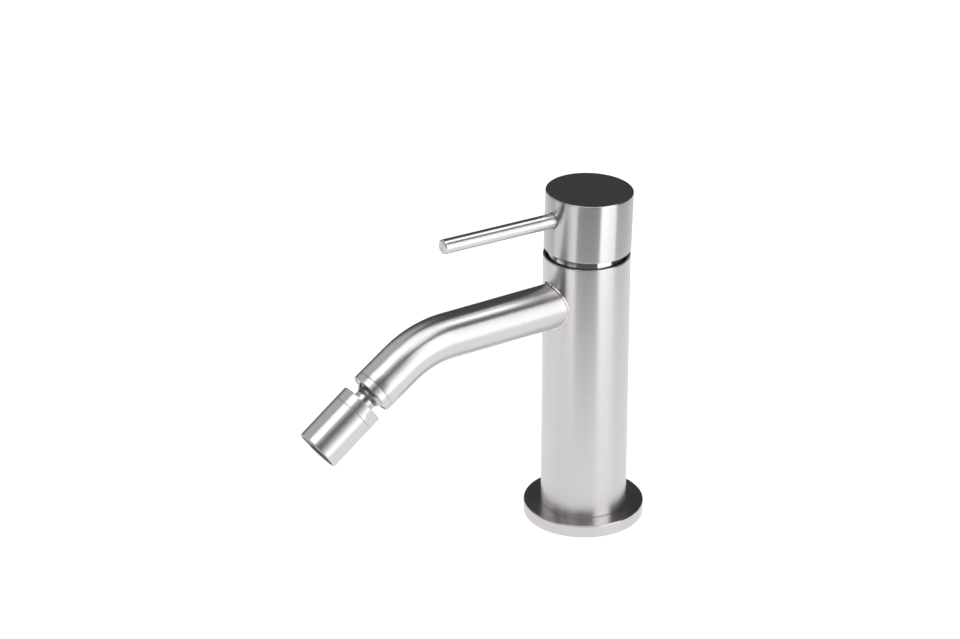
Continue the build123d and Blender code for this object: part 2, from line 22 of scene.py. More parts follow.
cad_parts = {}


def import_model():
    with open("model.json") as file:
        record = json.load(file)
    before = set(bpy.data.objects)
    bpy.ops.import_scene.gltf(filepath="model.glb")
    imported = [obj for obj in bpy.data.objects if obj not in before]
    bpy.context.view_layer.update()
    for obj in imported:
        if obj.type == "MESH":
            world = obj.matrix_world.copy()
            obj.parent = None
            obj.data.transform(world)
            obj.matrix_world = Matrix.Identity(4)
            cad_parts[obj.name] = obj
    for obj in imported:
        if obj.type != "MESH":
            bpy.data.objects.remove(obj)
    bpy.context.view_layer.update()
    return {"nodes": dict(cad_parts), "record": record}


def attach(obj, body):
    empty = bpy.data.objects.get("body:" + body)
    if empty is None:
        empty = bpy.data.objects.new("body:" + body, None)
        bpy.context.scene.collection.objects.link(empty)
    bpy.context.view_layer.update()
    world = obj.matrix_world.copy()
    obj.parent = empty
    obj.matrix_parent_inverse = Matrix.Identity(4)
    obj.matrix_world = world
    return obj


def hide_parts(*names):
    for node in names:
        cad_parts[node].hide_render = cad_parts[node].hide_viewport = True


Shape = bmesh.types.BMesh
Socket = bpy.types.NodeSocket

LOG = logging.getLogger("bidet_mixer")
METRES_PER_MM = 0.001

# Names of the map that runs round the axis and of each vertex's straightened place
UV_NAME = "turning"
STRAIGHT_NAME = "straight"

# Whole turns after which the map starts again, and its units per metre along the axis
UV_TURNS = 64.0
UV_PER_METRE = 10.0

# Millimetres: vertices that merge, vertices that count as in line, and a cutter's reach past its cut
TOUCH = 0.0001
NEAR = 0.001
OVERRUN = 1.0

BEVEL_SEGMENTS = 3
SUPPORT_SHARE = 1.7
SHARP_ANGLE = math.radians(38)

# Turn of a highlight that the grooves draw out, in whole turns
HIGHLIGHT_TURN = 0.25

# Places of a colour mix's share, first colour and second colour, and of its result
MIX_INPUTS = (0, 6, 7)
MIX_OUTPUT = 2


class Slot(Enum):
    """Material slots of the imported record."""

    BRUSHED = "brushed_stainless"
    POLISHED = "polished_stainless"
    BRASS = "brass"
    PLAIN_STEEL = "plain_steel"
    CERAMIC = "ceramic"
    WHITE_PLASTIC = "white_plastic"
    GREY_PLASTIC = "grey_plastic"
    RUBBER = "black_rubber"


class Body(Enum):
    """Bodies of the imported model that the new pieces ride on."""

    COLUMN = "column"
    HANDLE = "handle"
    AERATOR = "aerator"


# Shader wiring


class Wiring:
    """Adds nodes to one node tree and joins them."""

    def __init__(self, tree: bpy.types.NodeTree) -> None:
        """Keeps the tree to add to."""
        self.tree = tree

    def node(self, kind: str, **settings: object) -> bpy.types.Node:
        """Adds a node.

        Args:
            kind: The node's bl_idname.
            settings: Properties to set on it.

        Returns:
            The new node.
        """
        made = self.tree.nodes.new(kind)
        for name, value in settings.items():
            setattr(made, name, value)
        return made

    def feed(self, target: Socket, value: object) -> None:
        """Links a socket, or sets a plain value on the target.

        Args:
            target: The input to feed.
            value: A socket, a number or a tuple.
        """
        if isinstance(value, Socket):
            self.tree.links.new(value, target)
        else:
            target.default_value = value

    def feed_all(self, node: bpy.types.Node, values: dict[str, object]) -> None:
        """Feeds a node's inputs by name."""
        for name, value in values.items():
            self.feed(node.inputs[name], value)

    def math(self, operation: str, *values: object) -> Socket:
        """Adds a Math node.

        Args:
            operation: The Math operation.
            values: Its numbers or sockets in order.

        Returns:
            The result's socket.
        """
        made = self.node("ShaderNodeMath", operation=operation)
        for target, value in zip(made.inputs, values):
            self.feed(target, value)
        return made.outputs[0]

    def remap(
        self, value: object, low: float, high: float, ends: tuple[float, float] = (0.0, 1.0)
    ) -> Socket:
        """Maps a value from one range to another, clamped.

        Args:
            value: The number or socket.
            low: Start of its range.
            high: End of its range.
            ends: Start and end of the new range.

        Returns:
            The result's socket.
        """
        made = self.node("ShaderNodeMapRange", clamp=True)
        for target, number in zip(made.inputs, (value, low, high, *ends)):
            self.feed(target, number)
        return made.outputs[0]

    def blend(self, share: object, first: object, second: object) -> Socket:
        """Mixes two colours.

        Args:
            share: Share of the second.
            first: First colour or socket.
            second: Second colour or socket.

        Returns:
            The mixed colour's socket.
        """
        made = self.node("ShaderNodeMix", data_type="RGBA")
        for index, value in zip(MIX_INPUTS, (share, first, second)):
            self.feed(made.inputs[index], value)
        return made.outputs[MIX_OUTPUT]

    def bump(self, height: Socket, depth: float) -> Socket:
        """Adds a Bump node.

        Args:
            height: The height, from 0 to 1.
            depth: What a height of 1 stands for, in metres.

        Returns:
            The normal's socket.
        """
        made = self.node("ShaderNodeBump")
        self.feed_all(made, {"Distance": depth, "Height": height})
        return made.outputs[0]

    def show(self, shader: bpy.types.Node) -> None:
        """Joins a shader to the material's output."""
        self.feed(self.node("ShaderNodeOutputMaterial").inputs[0], shader.outputs[0])


def blank_material(name: str) -> tuple[bpy.types.Material, Wiring]:
    """Makes a material without nodes.

    Args:
        name: The material's name.

    Returns:
        The material and its wiring.
    """
    made = bpy.data.materials.new(name)
    made.use_nodes = True
    made.node_tree.nodes.clear()
    return made, Wiring(made.node_tree)


@dataclass(frozen=True)
class Layer:
    """A layer of noise, spread over 0 to 1.

    Attributes:
        name: The output that it feeds.
        scale: Features per unit.
        detail: Octaves.
        finer: Weight of the finer octaves.
        low: Noise value that gives 0.
        high: Noise value that gives 1.
        across: Its features across the grooves, as a share of the finish's.
        run: Its features along the grooves, as a share of the finish's.
    """

    name: str
    scale: float
    detail: float
    finer: float
    low: float
    high: float
    across: float = 1.0
    run: float = 1.0

    def spread(self, wiring: Wiring, place: Socket) -> Socket:
        """Adds the layer's noise, read at a place.

        Args:
            wiring: The wiring to add to.
            place: Where to read it.

        Returns:
            The socket of its value from 0 to 1.
        """
        made = wiring.node("ShaderNodeTexNoise", noise_dimensions="3D")
        numbers = {"Scale": self.scale, "Detail": self.detail, "Roughness": self.finer}
        wiring.feed_all(made, {"Vector": place, **numbers})
        return wiring.remap(made.outputs[0], self.low, self.high)


class Effect:
    """A shader node group that several finishes share.

    Attributes:
        name: The group's name.
        numbers: Its inputs beside Position.
        extras: Its outputs beside those of its layers.
        layers: Its layers of noise.
    """

    name: str
    numbers: tuple[str, ...] = ()
    extras: tuple[str, ...] = ()
    layers: tuple[Layer, ...]

    @cache
    def tree(self) -> bpy.types.NodeTree:
        """The group's tree, built once."""
        made = bpy.data.node_groups.new(self.name, "ShaderNodeTree")
        made.interface.new_socket("Position", in_out="INPUT", socket_type="NodeSocketVector")
        for name in self.numbers:
            made.interface.new_socket(name, in_out="INPUT", socket_type="NodeSocketFloat")
        for name in (*(layer.name for layer in self.layers), *self.extras):
            made.interface.new_socket(name, in_out="OUTPUT", socket_type="NodeSocketFloat")
        wiring = Wiring(made)
        results = self.results(wiring, wiring.node("NodeGroupInput").outputs)
        wiring.feed_all(wiring.node("NodeGroupOutput"), results)
        return made

    def results(self, wiring: Wiring, given: bpy.types.NodeOutputs) -> dict[str, object]:
        """The group's outputs by name, here each layer read at Position."""
        return {layer.name: layer.spread(wiring, given["Position"]) for layer in self.layers}

    def place(self, wiring: Wiring, values: dict[str, object]) -> bpy.types.NodeOutputs:
        """Puts the group in a material.

        Args:
            wiring: The material's wiring.
            values: Its inputs by name.

        Returns:
            The group's outputs.
        """
        made = wiring.node("ShaderNodeGroup", node_tree=self.tree())
        wiring.feed_all(made, values)
        return made.outputs


class BrushedGrain(Effect):
    """Fine grooves that run round the axis of the Position given, with streaks and a few deeper scratches.

    Attributes:
        scratch_depth: Depth of a scratch, as a share of the grooves' depth.
    """

    name = "brushed_grain"
    numbers = ("Grooves per metre", "Run per metre")
    extras = ("Height",)
    layers = (
        Layer("Grooves", 1.0, 3.0, 0.65, 0.25, 0.75),
        Layer("Streaks", 1.0, 2.0, 0.6, 0.3, 0.7, across=0.13, run=0.5),
        Layer("Scratches", 0.45, 0.0, 0.5, 0.71, 0.8, run=1.6),
    )
    scratch_depth = 0.4

    def results(self, wiring: Wiring, given: bpy.types.NodeOutputs) -> dict[str, object]:
        """The layers, squeezed across the grooves and drawn out along them, and the height they give.

        Args:
            wiring: The group's wiring.
            given: The group's inputs.

        Returns:
            The group's outputs by name.
        """
        parts = wiring.node("ShaderNodeSeparateXYZ")
        wiring.feed(parts.inputs[0], given["Position"])
        x, y, z = parts.outputs
        squares = wiring.math("ADD", wiring.math("MULTIPLY", x, x), wiring.math("MULTIPLY", y, y))
        across = wiring.math("ADD", wiring.math("SQRT", squares), z)
        made = {}
        for layer in self.layers:
            grooves = wiring.math("MULTIPLY", given["Grooves per metre"], layer.across)
            run = wiring.math("MULTIPLY", given["Run per metre"], layer.run)
            place = wiring.node("ShaderNodeCombineXYZ")
            for target, value, scale in zip(place.inputs, (x, y, across), (run, run, grooves)):
                wiring.feed(target, wiring.math("MULTIPLY", value, scale))
            made[layer.name] = layer.spread(wiring, place.outputs[0])
        scratched = wiring.math("MULTIPLY", made["Scratches"], self.scratch_depth)
        return {**made, "Height": wiring.math("SUBTRACT", made["Grooves"], scratched)}


class Handling(Effect):
    """Soft clouds and small specks that a handled or moulded surface has."""

    name = "handling"
    layers = (Layer("Clouds", 38.0, 3.0, 0.55, 0.3, 0.7), Layer("Specks", 2600.0, 2.0, 0.6, 0.62, 0.78))


GRAIN = BrushedGrain()
HANDLING = Handling()


# Finishes


@dataclass(frozen=True)
class Finish:
    """A material: its name, colour and gloss.

    Attributes:
        name: The material's name.
        colour: Its linear colour.
        roughness: Roughness of the Principled shader.
    """

    name: str
    colour: tuple[float, float, float]
    roughness: float

    @cache
    def material(self) -> bpy.types.Material:
        """The material, built once."""
        made, wiring = blank_material(self.name)
        made.diffuse_color = (*self.colour, 1.0)
        shader = wiring.node("ShaderNodeBsdfPrincipled")
        wiring.show(shader)
        wiring.feed_all(shader, self.look(wiring))
        return made

    def look(self, wiring: Wiring) -> dict[str, object]:
        """The Principled shader's inputs by name."""
        raise NotImplementedError

    def shade(self, share: float) -> tuple[float, float, float, float]:
        """The colour times a share, with full alpha."""
        return (*(channel * share for channel in self.colour), 1.0)


@dataclass(frozen=True)
class TurnedSteel(Finish):
    """Stainless steel brushed round its own axis.

    Attributes:
        anisotropy: How much the grooves draw out a highlight.
        grooves: Grooves per metre across.
        run: Features per metre along the grooves.
        tone: How much darker the darkest grooves are, as a share.
        streak_share: Share that the streaks have in the tone, where the grooves have the rest.
        scratch_share: How much of a scratch's shade shows.
        scratch_shade: Shade of a scratch.
        unevenness: How far the grooves change the roughness.
        depth: Depth of the grooves in metres.
    """

    anisotropy: float = 0.6
    grooves: float = 3500.0
    run: float = 45.0
    tone: float = 0.03
    streak_share: float = 0.5
    scratch_share: float = 0.08
    scratch_shade: float = 0.6
    unevenness: float = 0.02
    depth: float = 0.000001

    def look(self, wiring: Wiring) -> dict[str, object]:
        """The steel's look, from its grooves and its handling.

        Args:
            wiring: The material's wiring.

        Returns:
            The Principled shader's inputs by name.
        """
        place = wiring.node("ShaderNodeAttribute", attribute_name=STRAIGHT_NAME).outputs["Vector"]
        numbers = {"Grooves per metre": self.grooves, "Run per metre": self.run}
        grain = GRAIN.place(wiring, {"Position": place, **numbers})
        clouds = HANDLING.place(wiring, {"Position": place})["Clouds"]
        rest = wiring.math("MULTIPLY", grain["Grooves"], 1 - self.streak_share)
        tone = wiring.math("MULTIPLY_ADD", grain["Streaks"], self.streak_share, rest)
        base = wiring.blend(tone, self.shade(1 - self.tone), self.shade(1 + self.tone / 2))
        scratched = wiring.math("MULTIPLY", grain["Scratches"], self.scratch_share)
        least = self.roughness - self.unevenness / 2
        uneven = wiring.math("MULTIPLY_ADD", grain["Streaks"], self.unevenness, least)
        tangent = wiring.node("ShaderNodeTangent", direction_type="UV_MAP", uv_map=UV_NAME)
        return {
            "Base Color": wiring.blend(scratched, base, self.shade(self.scratch_shade)),
            "Metallic": 1.0,
            "Roughness": wiring.math("MULTIPLY_ADD", clouds, self.unevenness / 2, uneven),
            "Anisotropic": self.anisotropy,
            "Anisotropic Rotation": HIGHLIGHT_TURN,
            "Tangent": tangent.outputs[0],
            "Normal": wiring.bump(grain["Height"], self.depth),
        }


@dataclass(frozen=True)
class MachinedMetal(Finish):
    """Plain machined metal of the hidden pieces, with faint tool marks in its own object's coordinates.

    Attributes:
        marks: Features per metre across the tool marks.
        run: Features per metre along them.
        dark: Shade between the marks.
        light: Shade on the marks.
        unevenness: How far the handling changes the roughness.
        depth: Depth of the marks in metres.
    """

    marks: float = 900.0
    run: float = 20.0
    dark: float = 0.85
    light: float = 1.05
    unevenness: float = 0.1
    depth: float = 0.00001

    def look(self, wiring: Wiring) -> dict[str, object]:
        """The metal's look, from its tool marks.

        Args:
            wiring: The material's wiring.

        Returns:
            The Principled shader's inputs by name.
        """
        place = wiring.node("ShaderNodeTexCoord").outputs["Object"]
        numbers = {"Grooves per metre": self.marks, "Run per metre": self.run}
        grain = GRAIN.place(wiring, {"Position": place, **numbers})
        clouds = HANDLING.place(wiring, {"Position": place})["Clouds"]
        least = self.roughness - self.unevenness / 2
        return {
            "Base Color": wiring.blend(grain["Grooves"], self.shade(self.dark), self.shade(self.light)),
            "Metallic": 1.0,
            "Roughness": wiring.math("MULTIPLY_ADD", clouds, self.unevenness, least),
            "Normal": wiring.bump(grain["Height"], self.depth),
        }


@dataclass(frozen=True)
class Moulded(Finish):
    """Moulded plastic, rubber or lapped ceramic with clouds and specks in its own object's coordinates.

    Attributes:
        texture: Height of the moulded texture in metres.
        coat: Weight of a clear gloss over it.
        dark: Shade between the clouds.
        light: Shade in the clouds.
        speck_share: How much of a speck's shade shows.
        speck_shade: Shade of a speck.
        unevenness: How far the clouds raise the roughness.
    """

    texture: float = 0.00002
    coat: float = 0.0
    dark: float = 0.92
    light: float = 1.04
    speck_share: float = 0.2
    speck_shade: float = 0.7
    unevenness: float = 0.08

    def look(self, wiring: Wiring) -> dict[str, object]:
        """The moulding's look, from its clouds and specks.

        Args:
            wiring: The material's wiring.

        Returns:
            The Principled shader's inputs by name.
        """
        place = wiring.node("ShaderNodeTexCoord").outputs["Object"]
        handling = HANDLING.place(wiring, {"Position": place})
        tone = wiring.blend(handling["Clouds"], self.shade(self.dark), self.shade(self.light))
        specks = wiring.math("MULTIPLY", handling["Specks"], self.speck_share)
        return {
            "Base Color": wiring.blend(specks, tone, self.shade(self.speck_shade)),
            "Roughness": wiring.math("MULTIPLY_ADD", handling["Clouds"], self.unevenness, self.roughness),
            "Coat Weight": self.coat,
            "Normal": wiring.bump(handling["Specks"], self.texture),
        }


@dataclass(frozen=True)
class Finishes:
    """Every finish of the mixer."""

    column: TurnedSteel = TurnedSteel("column_satin", (0.68, 0.66, 0.675), 0.3, anisotropy=0.7)
    cap: TurnedSteel = TurnedSteel("cap_satin", (0.68, 0.66, 0.675), 0.29, anisotropy=0.95)
    # Cap top: even gloss with no drawn-out highlight, and a slightly darker, browner colour than the cap,
    # which is painted shade for the top's dark look
    cap_top: TurnedSteel = TurnedSteel("cap_top_satin_painted_shade", (0.66, 0.63, 0.64), 0.25, anisotropy=0.0)
    flange: TurnedSteel = TurnedSteel("flange_satin", (0.66, 0.635, 0.635), 0.25, anisotropy=0.7)
    tube: TurnedSteel = TurnedSteel("tube_satin", (0.68, 0.665, 0.665), 0.29, anisotropy=0.7)
    lever: TurnedSteel = TurnedSteel("lever_satin", (0.7, 0.685, 0.68), 0.29, anisotropy=0.6)
    aerator: TurnedSteel = TurnedSteel("aerator_satin", (0.67, 0.65, 0.66), 0.29, anisotropy=0.7)
    ring: TurnedSteel = TurnedSteel("ring_polish", (0.66, 0.64, 0.63), 0.14, anisotropy=0.9)
    # Ball and neck: much darker, warmer colour than the other steel, which is painted shade for the recess
    # between the end ring and the collar
    ball: TurnedSteel = TurnedSteel("ball_satin_painted_shade", (0.56, 0.54, 0.52), 0.24, anisotropy=0.2)
    weld: TurnedSteel = TurnedSteel(
        "weld_steel", (0.74, 0.72, 0.7), 0.2, anisotropy=0.2, tone=0.08, depth=0.000003
    )
    brass: MachinedMetal = MachinedMetal("machined_brass", (0.72, 0.53, 0.24), 0.3)
    plain: MachinedMetal = MachinedMetal("machined_steel", (0.5, 0.49, 0.48), 0.38)
    ceramic: Moulded = Moulded("lapped_ceramic", (0.85, 0.84, 0.8), 0.15, texture=0.000004, coat=0.5)
    white: Moulded = Moulded("white_acetal", (0.78, 0.78, 0.75), 0.42)
    grey: Moulded = Moulded("grey_acetal", (0.12, 0.125, 0.13), 0.45)
    rubber: Moulded = Moulded("black_rubber", (0.02, 0.02, 0.02), 0.7, texture=0.00004)

    def carried(self) -> dict[Slot, Finish]:
        """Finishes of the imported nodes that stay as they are, by slot."""
        return {
            Slot.BRUSHED: self.plain,
            Slot.POLISHED: self.plain,
            Slot.BRASS: self.brass,
            Slot.PLAIN_STEEL: self.plain,
            Slot.CERAMIC: self.ceramic,
            Slot.WHITE_PLASTIC: self.white,
            Slot.GREY_PLASTIC: self.grey,
            Slot.RUBBER: self.rubber,
        }


FINISHES = Finishes()


# Mesh making


@dataclass(frozen=True)
class Corner:
    """A point of a turned outline.

    Attributes:
        radius: Distance from the axis.
        height: Place along the axis.
        rounding: Size of the bevel there.
    """

    radius: float
    height: float
    rounding: float = 0.0

    def towards(self, other: Corner, distance: float) -> Corner:
        """A plain point that far along the way to another corner."""
        step = Vector((other.radius - self.radius, other.height - self.height)).normalized() * distance
        return Corner(self.radius + step.x, self.height + step.y)

    def gap(self, other: Corner) -> float:
        """Distance to another corner."""
        return math.hypot(other.radius - self.radius, other.height - self.height)


def arc(radius: float, first: float, last: float, steps: int) -> list[Corner]:
    """Corners along an arc round the origin.

    Args:
        radius: The arc's radius.
        first: Its first angle above the XY plane, in radians.
        last: Its last angle.
        steps: Number of its steps.

    Returns:
        The corners, with one at each end.
    """
    angles = [first + (last - first) * step / steps for step in range(steps + 1)]
    return [Corner(radius * math.cos(angle), radius * math.sin(angle)) for angle in angles]


def supported(outline: Sequence[Corner]) -> list[Corner]:
    """Adds a point beside each rounded corner, so that the flats next to it shade flat.

    Args:
        outline: The closed outline.

    Returns:
        The outline with its support points.
    """
    made: list[Corner] = []
    for index, corner in enumerate(outline):
        before, after = outline[index - 1], outline[(index + 1) % len(outline)]
        reach = corner.rounding * SUPPORT_SHARE
        if corner.rounding and corner.gap(before) > 2 * reach + before.rounding * SUPPORT_SHARE:
            made.append(corner.towards(before, reach))
        made.append(corner)
        if corner.rounding and corner.gap(after) > 2 * reach + after.rounding * SUPPORT_SHARE:
            made.append(corner.towards(after, reach))
    return made


def turned(outline: Sequence[Corner], steps: int) -> Shape:
    """Spins a closed outline round Z and bevels its rounded corners.

    Args:
        outline: Corners of the outline, in millimetres.
        steps: Number of steps in the full turn.

    Returns:
        The closed mesh.
    """
    made = bmesh.new()
    points = supported(outline)
    verts = [made.verts.new((point.radius, 0.0, point.height)) for point in points]
    for index, vert in enumerate(verts):
        following = (index + 1) % len(verts)
        if points[index].radius > TOUCH or points[following].radius > TOUCH:
            made.edges.new((vert, verts[following]))
    bmesh.ops.spin(
        made,
        geom=[*made.verts, *made.edges],
        cent=(0, 0, 0),
        axis=(0, 0, 1),
        dvec=(0, 0, 0),
        angle=math.tau,
        space=Matrix.Identity(4),
        steps=steps,
        use_merge=True,
        use_duplicate=False,
    )
    bmesh.ops.remove_doubles(made, verts=made.verts, dist=TOUCH)
    for corner in outline:
        if corner.rounding:
            bevel_ring(made, corner)
    bmesh.ops.recalc_face_normals(made, faces=made.faces)
    return made


def bevel_ring(made: Shape, corner: Corner) -> None:
    """Bevels the ring of edges at one corner of the outline.

    Args:
        made: The spun mesh.
        corner: The corner to round.
    """

    def on_ring(vert: bmesh.types.BMVert) -> bool:
        """Whether a vertex lies on the corner's ring."""
        off = abs(math.hypot(vert.co.x, vert.co.y) - corner.radius) + abs(vert.co.z - corner.height)
        return off < NEAR

    edges = [edge for edge in made.edges if all(on_ring(vert) for vert in edge.verts)]
    bmesh.ops.bevel(
        made,
        geom=edges,
        offset=corner.rounding,
        offset_type="OFFSET",
        segments=BEVEL_SEGMENTS,
        profile=0.5,
        affect="EDGES",
        clamp_overlap=True,
        material=-1,
    )


def ends_of(edges: Sequence[bmesh.types.BMEdge]) -> list[bmesh.types.BMVert]:
    """The vertices of some edges, each once."""
    return list({vert: None for edge in edges for vert in edge.verts})


def extruded(made: Shape, edges: Sequence[bmesh.types.BMEdge]) -> list[bmesh.types.BMEdge]:
    """Extrudes a ring of edges without moving it, and returns the new ring."""
    grown = bmesh.ops.extrude_edge_only(made, edges=edges)["geom"]
    return [item for item in grown if isinstance(item, bmesh.types.BMEdge)]


def box(low: Vector, high: Vector) -> Shape:
    """A box between two corners, to cut with.

    Args:
        low: Its lowest corner.
        high: Its highest corner.

    Returns:
        The box's mesh.
    """
    made = bmesh.new()
    bmesh.ops.create_cube(made, size=1.0)
    bmesh.ops.scale(made, vec=high - low, verts=made.verts)
    bmesh.ops.translate(made, vec=(low + high) / 2, verts=made.verts)
    return made


def along(origin: Vector, direction: Vector) -> Matrix:
    """Place whose Z runs along a direction in the YZ plane, with X kept.

    Args:
        origin: Its origin in millimetres.
        direction: Its Z axis.

    Returns:
        The place's matrix.
    """
    x_axis = Vector((1.0, 0.0, 0.0))
    z_axis = direction.normalized()
    turn = Matrix((x_axis, z_axis.cross(x_axis), z_axis)).transposed().to_4x4()
    return Matrix.Translation(origin) @ turn


def mark_grain(mesh: bpy.types.Mesh, straight: Sequence[Vector]) -> None:
    """Gives a mesh the straightened place of each vertex and a map that runs round the axis.

    Args:
        mesh: The mesh to mark.
        straight: For each vertex, its place in metres as if the piece were turned about Z.
    """
    mark = mesh.attributes.get(STRAIGHT_NAME) or mesh.attributes.new(STRAIGHT_NAME, "FLOAT_VECTOR", "POINT")
    mark.data.foreach_set("vector", [value for place in straight for value in place])
    layer = mesh.uv_layers.get(UV_NAME) or mesh.uv_layers.new(name=UV_NAME)
    for polygon in mesh.polygons:
        places = [straight[index] for index in polygon.vertices]
        middle = sum(places, Vector()) / len(places)
        centre = math.atan2(middle.y, middle.x)
        for loop, place in zip(polygon.loop_indices, places):
            radius = math.hypot(place.x, place.y)
            angle = math.atan2(place.y, place.x) if radius > TOUCH * METRES_PER_MM else centre
            turns = round((centre - angle) / math.tau)
            around = (angle / math.tau + turns) % UV_TURNS
            layer.data[loop].uv = (around, (place.z + radius) * UV_PER_METRE)


def sharpen(mesh: bpy.types.Mesh) -> None:
    """Shades a mesh smooth, with its creases kept sharp.

    Args:
        mesh: The mesh to shade.
    """
    made = bmesh.new()
    made.from_mesh(mesh)
    for face in made.faces:
        face.smooth = True
    for edge in made.edges:
        edge.smooth = len(edge.link_faces) == 2 and edge.calc_face_angle(0.0) < SHARP_ANGLE
    made.to_mesh(mesh)
    made.free()


def settled(name: str, shape: Shape) -> bpy.types.Mesh:
    """Makes a mesh of a shape and frees the shape.

    Args:
        name: The mesh's name.
        shape: The shape.

    Returns:
        The mesh.
    """
    made = bpy.data.meshes.new(name)
    shape.to_mesh(made)
    shape.free()
    return made


def shown(name: str, data: bpy.types.ID) -> bpy.types.Object:
    """Adds an object to the scene.

    Args:
        name: The object's name.
        data: The mesh, lamp or camera that it shows.

    Returns:
        The object.
    """
    made = bpy.data.objects.new(name, data)
    bpy.context.scene.collection.objects.link(made)
    return made


class Piece:
    """A named object made of one mesh, in place in the shared frame."""

    def __init__(self, name: str, shape: Shape, place: Matrix | None = None) -> None:
        """Puts a mesh in place.

        Args:
            name: The object's name.
            shape: Its mesh in millimetres, which is freed.
            place: Its place in millimetres, or None where the mesh is already there.
        """
        self.place = place or Matrix.Identity(4)
        bmesh.ops.transform(shape, matrix=self.place, verts=shape.verts)
        bmesh.ops.scale(shape, vec=Vector((METRES_PER_MM,) * 3), verts=shape.verts)
        self.object = shown(name, settled(name, shape))

    def carve(self, cutter: Piece) -> None:
        """Cuts another piece out of this one and removes it.

        Args:
            cutter: The piece to cut with.
        """
        modifier = self.object.modifiers.new("cut", "BOOLEAN")
        modifier.operation = "DIFFERENCE"
        modifier.solver = "EXACT"
        modifier.object = cutter.object
        depsgraph = bpy.context.evaluated_depsgraph_get()
        mesh = bpy.data.meshes.new_from_object(self.object.evaluated_get(depsgraph))
        self.object.modifiers.clear()
        former, self.object.data = self.object.data, mesh
        bpy.data.meshes.remove(former)
        bpy.data.meshes.remove(cutter.object.data)

    def straighten(self) -> list[Vector]:
        """Each vertex's place in metres in the piece's own frame, whose Z is its axis."""
        back = self.place.inverted()
        vertices = self.object.data.vertices
        return [(back @ (vert.co / METRES_PER_MM)) * METRES_PER_MM for vert in vertices]

    def face(self, finish: Finish, height: float) -> None:
        """Gives the flat end at a height along the piece's own Z a finish of its own.

        Args:
            finish: The end's finish.
            height: Its height in millimetres.
        """
        mesh = self.object.data
        mesh.materials.append(finish.material())
        places = self.straighten()
        for polygon in mesh.polygons:
            if all(abs(places[index].z / METRES_PER_MM - height) < NEAR for index in polygon.vertices):
                polygon.material_index = len(mesh.materials) - 1

    def dress(
        self,
        finish: Finish,
        slot: Slot,
        body: Body,
        *nodes: str,
        straight: Sequence[Vector] | None = None,
    ) -> None:
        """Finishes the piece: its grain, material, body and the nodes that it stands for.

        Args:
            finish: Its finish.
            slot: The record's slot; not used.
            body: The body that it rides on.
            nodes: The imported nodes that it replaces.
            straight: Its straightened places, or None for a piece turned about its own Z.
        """
        mesh = self.object.data
        mesh.materials.clear()
        mesh.materials.append(finish.material())
        mark_grain(mesh, straight or self.straighten())
        sharpen(mesh)
        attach(self.object, body.value)
        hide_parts(*nodes)
        LOG.info("%s: %d faces, stands for %s", self.object.name, len(mesh.polygons), ", ".join(nodes))


# The mixer


@dataclass
class Column:
    """The column on its flange, with the polished ring in the gap under the cap.

    Attributes:
        radius: Outer radius of the column.
        bore: Its inner radius.
        spigot: Outer radius of the foot inside the flange.
        height: Height of its rim.
        rim_rounding: Bevel of the rim's outer edge.
        pocket: Inner radius of the pocket under the rim.
        pocket_floor: Height of the pocket's floor.
        pocket_rounding: Bevel of the rim's inner edge.
        foot_rounding: Bevel of the lower edges of the column and the flange.
        flange_radius: Outer radius of the flange.
        flange_bore: Its inner radius.
        flange_thickness: Its height.
        flange_rounding: Bevel of its upper edge.
        ring_radius: Outer radius of the polished ring.
        ring_wall: Thickness of its wall.
        ring_top: Height of its upper edge.
        ring_floor: Height of its inner floor.
        ring_waist: Height at which it starts to taper.
        ring_taper: How much smaller its radius is at the top.
        ring_rounding: Bevel of its upper edges.
        nut_radius: Radius of the nut inside the ring.
        steps: Steps of a full turn.
    """

    radius: float = 21.0
    bore: float = 19.0
    spigot: float = 20.2
    height: float = 139.9
    rim_rounding: float = 0.4
    pocket: float = 20.3
    pocket_floor: float = 134.0
    pocket_rounding: float = 0.08
    foot_rounding: float = 0.3
    flange_radius: float = 29.5
    flange_bore: float = 20.25
    flange_thickness: float = 6.3
    flange_rounding: float = 0.5
    ring_radius: float = 19.2
    ring_wall: float = 1.6
    ring_top: float = 143.1
    ring_floor: float = 135.8
    ring_waist: float = 139.0
    ring_taper: float = 0.9
    ring_rounding: float = 0.2
    nut_radius: float = 14.0
    steps: int = 192

    def shell(self) -> Piece:
        """The column's tube, with its foot, rim and pocket."""
        outline = [
            Corner(self.bore, 0.0),
            Corner(self.spigot, 0.0),
            Corner(self.spigot, self.flange_thickness),
            Corner(self.radius, self.flange_thickness, self.foot_rounding),
            Corner(self.radius, self.height, self.rim_rounding),
            Corner(self.pocket, self.height, self.pocket_rounding),
            Corner(self.pocket, self.pocket_floor),
            Corner(self.bore, self.pocket_floor),
        ]
        return Piece("column_shell", turned(outline, self.steps))

    def flange(self) -> Piece:
        """The round flange at the column's foot."""
        outline = [
            Corner(self.flange_bore, 0.0),
            Corner(self.flange_radius, 0.0, self.foot_rounding),
            Corner(self.flange_radius, self.flange_thickness, self.flange_rounding),
            Corner(self.flange_bore, self.flange_thickness),
        ]
        return Piece("flange_disc", turned(outline, self.steps))

    def gap_ring(self) -> Piece:
        """The polished ring that shows in the gap under the cap."""
        inner = self.ring_radius - self.ring_wall
        outline = [
            Corner(self.nut_radius, self.pocket_floor),
            Corner(self.ring_radius, self.pocket_floor),
            Corner(self.ring_radius, self.ring_waist),
            Corner(self.ring_radius - self.ring_taper, self.ring_top, self.ring_rounding),
            Corner(inner, self.ring_top, self.ring_rounding),
            Corner(inner, self.ring_floor),
            Corner(self.nut_radius, self.ring_floor),
        ]
        return Piece("gap_ring", turned(outline, self.steps))

    def build(self) -> None:
        """Builds and dresses the column's pieces."""
        self.shell().dress(FINISHES.column, Slot.BRUSHED, Body.COLUMN, "body_column")
        self.flange().dress(FINISHES.flange, Slot.BRUSHED, Body.COLUMN, "base_flange")
        self.gap_ring().dress(FINISHES.ring, Slot.POLISHED, Body.COLUMN, "cover_ring")


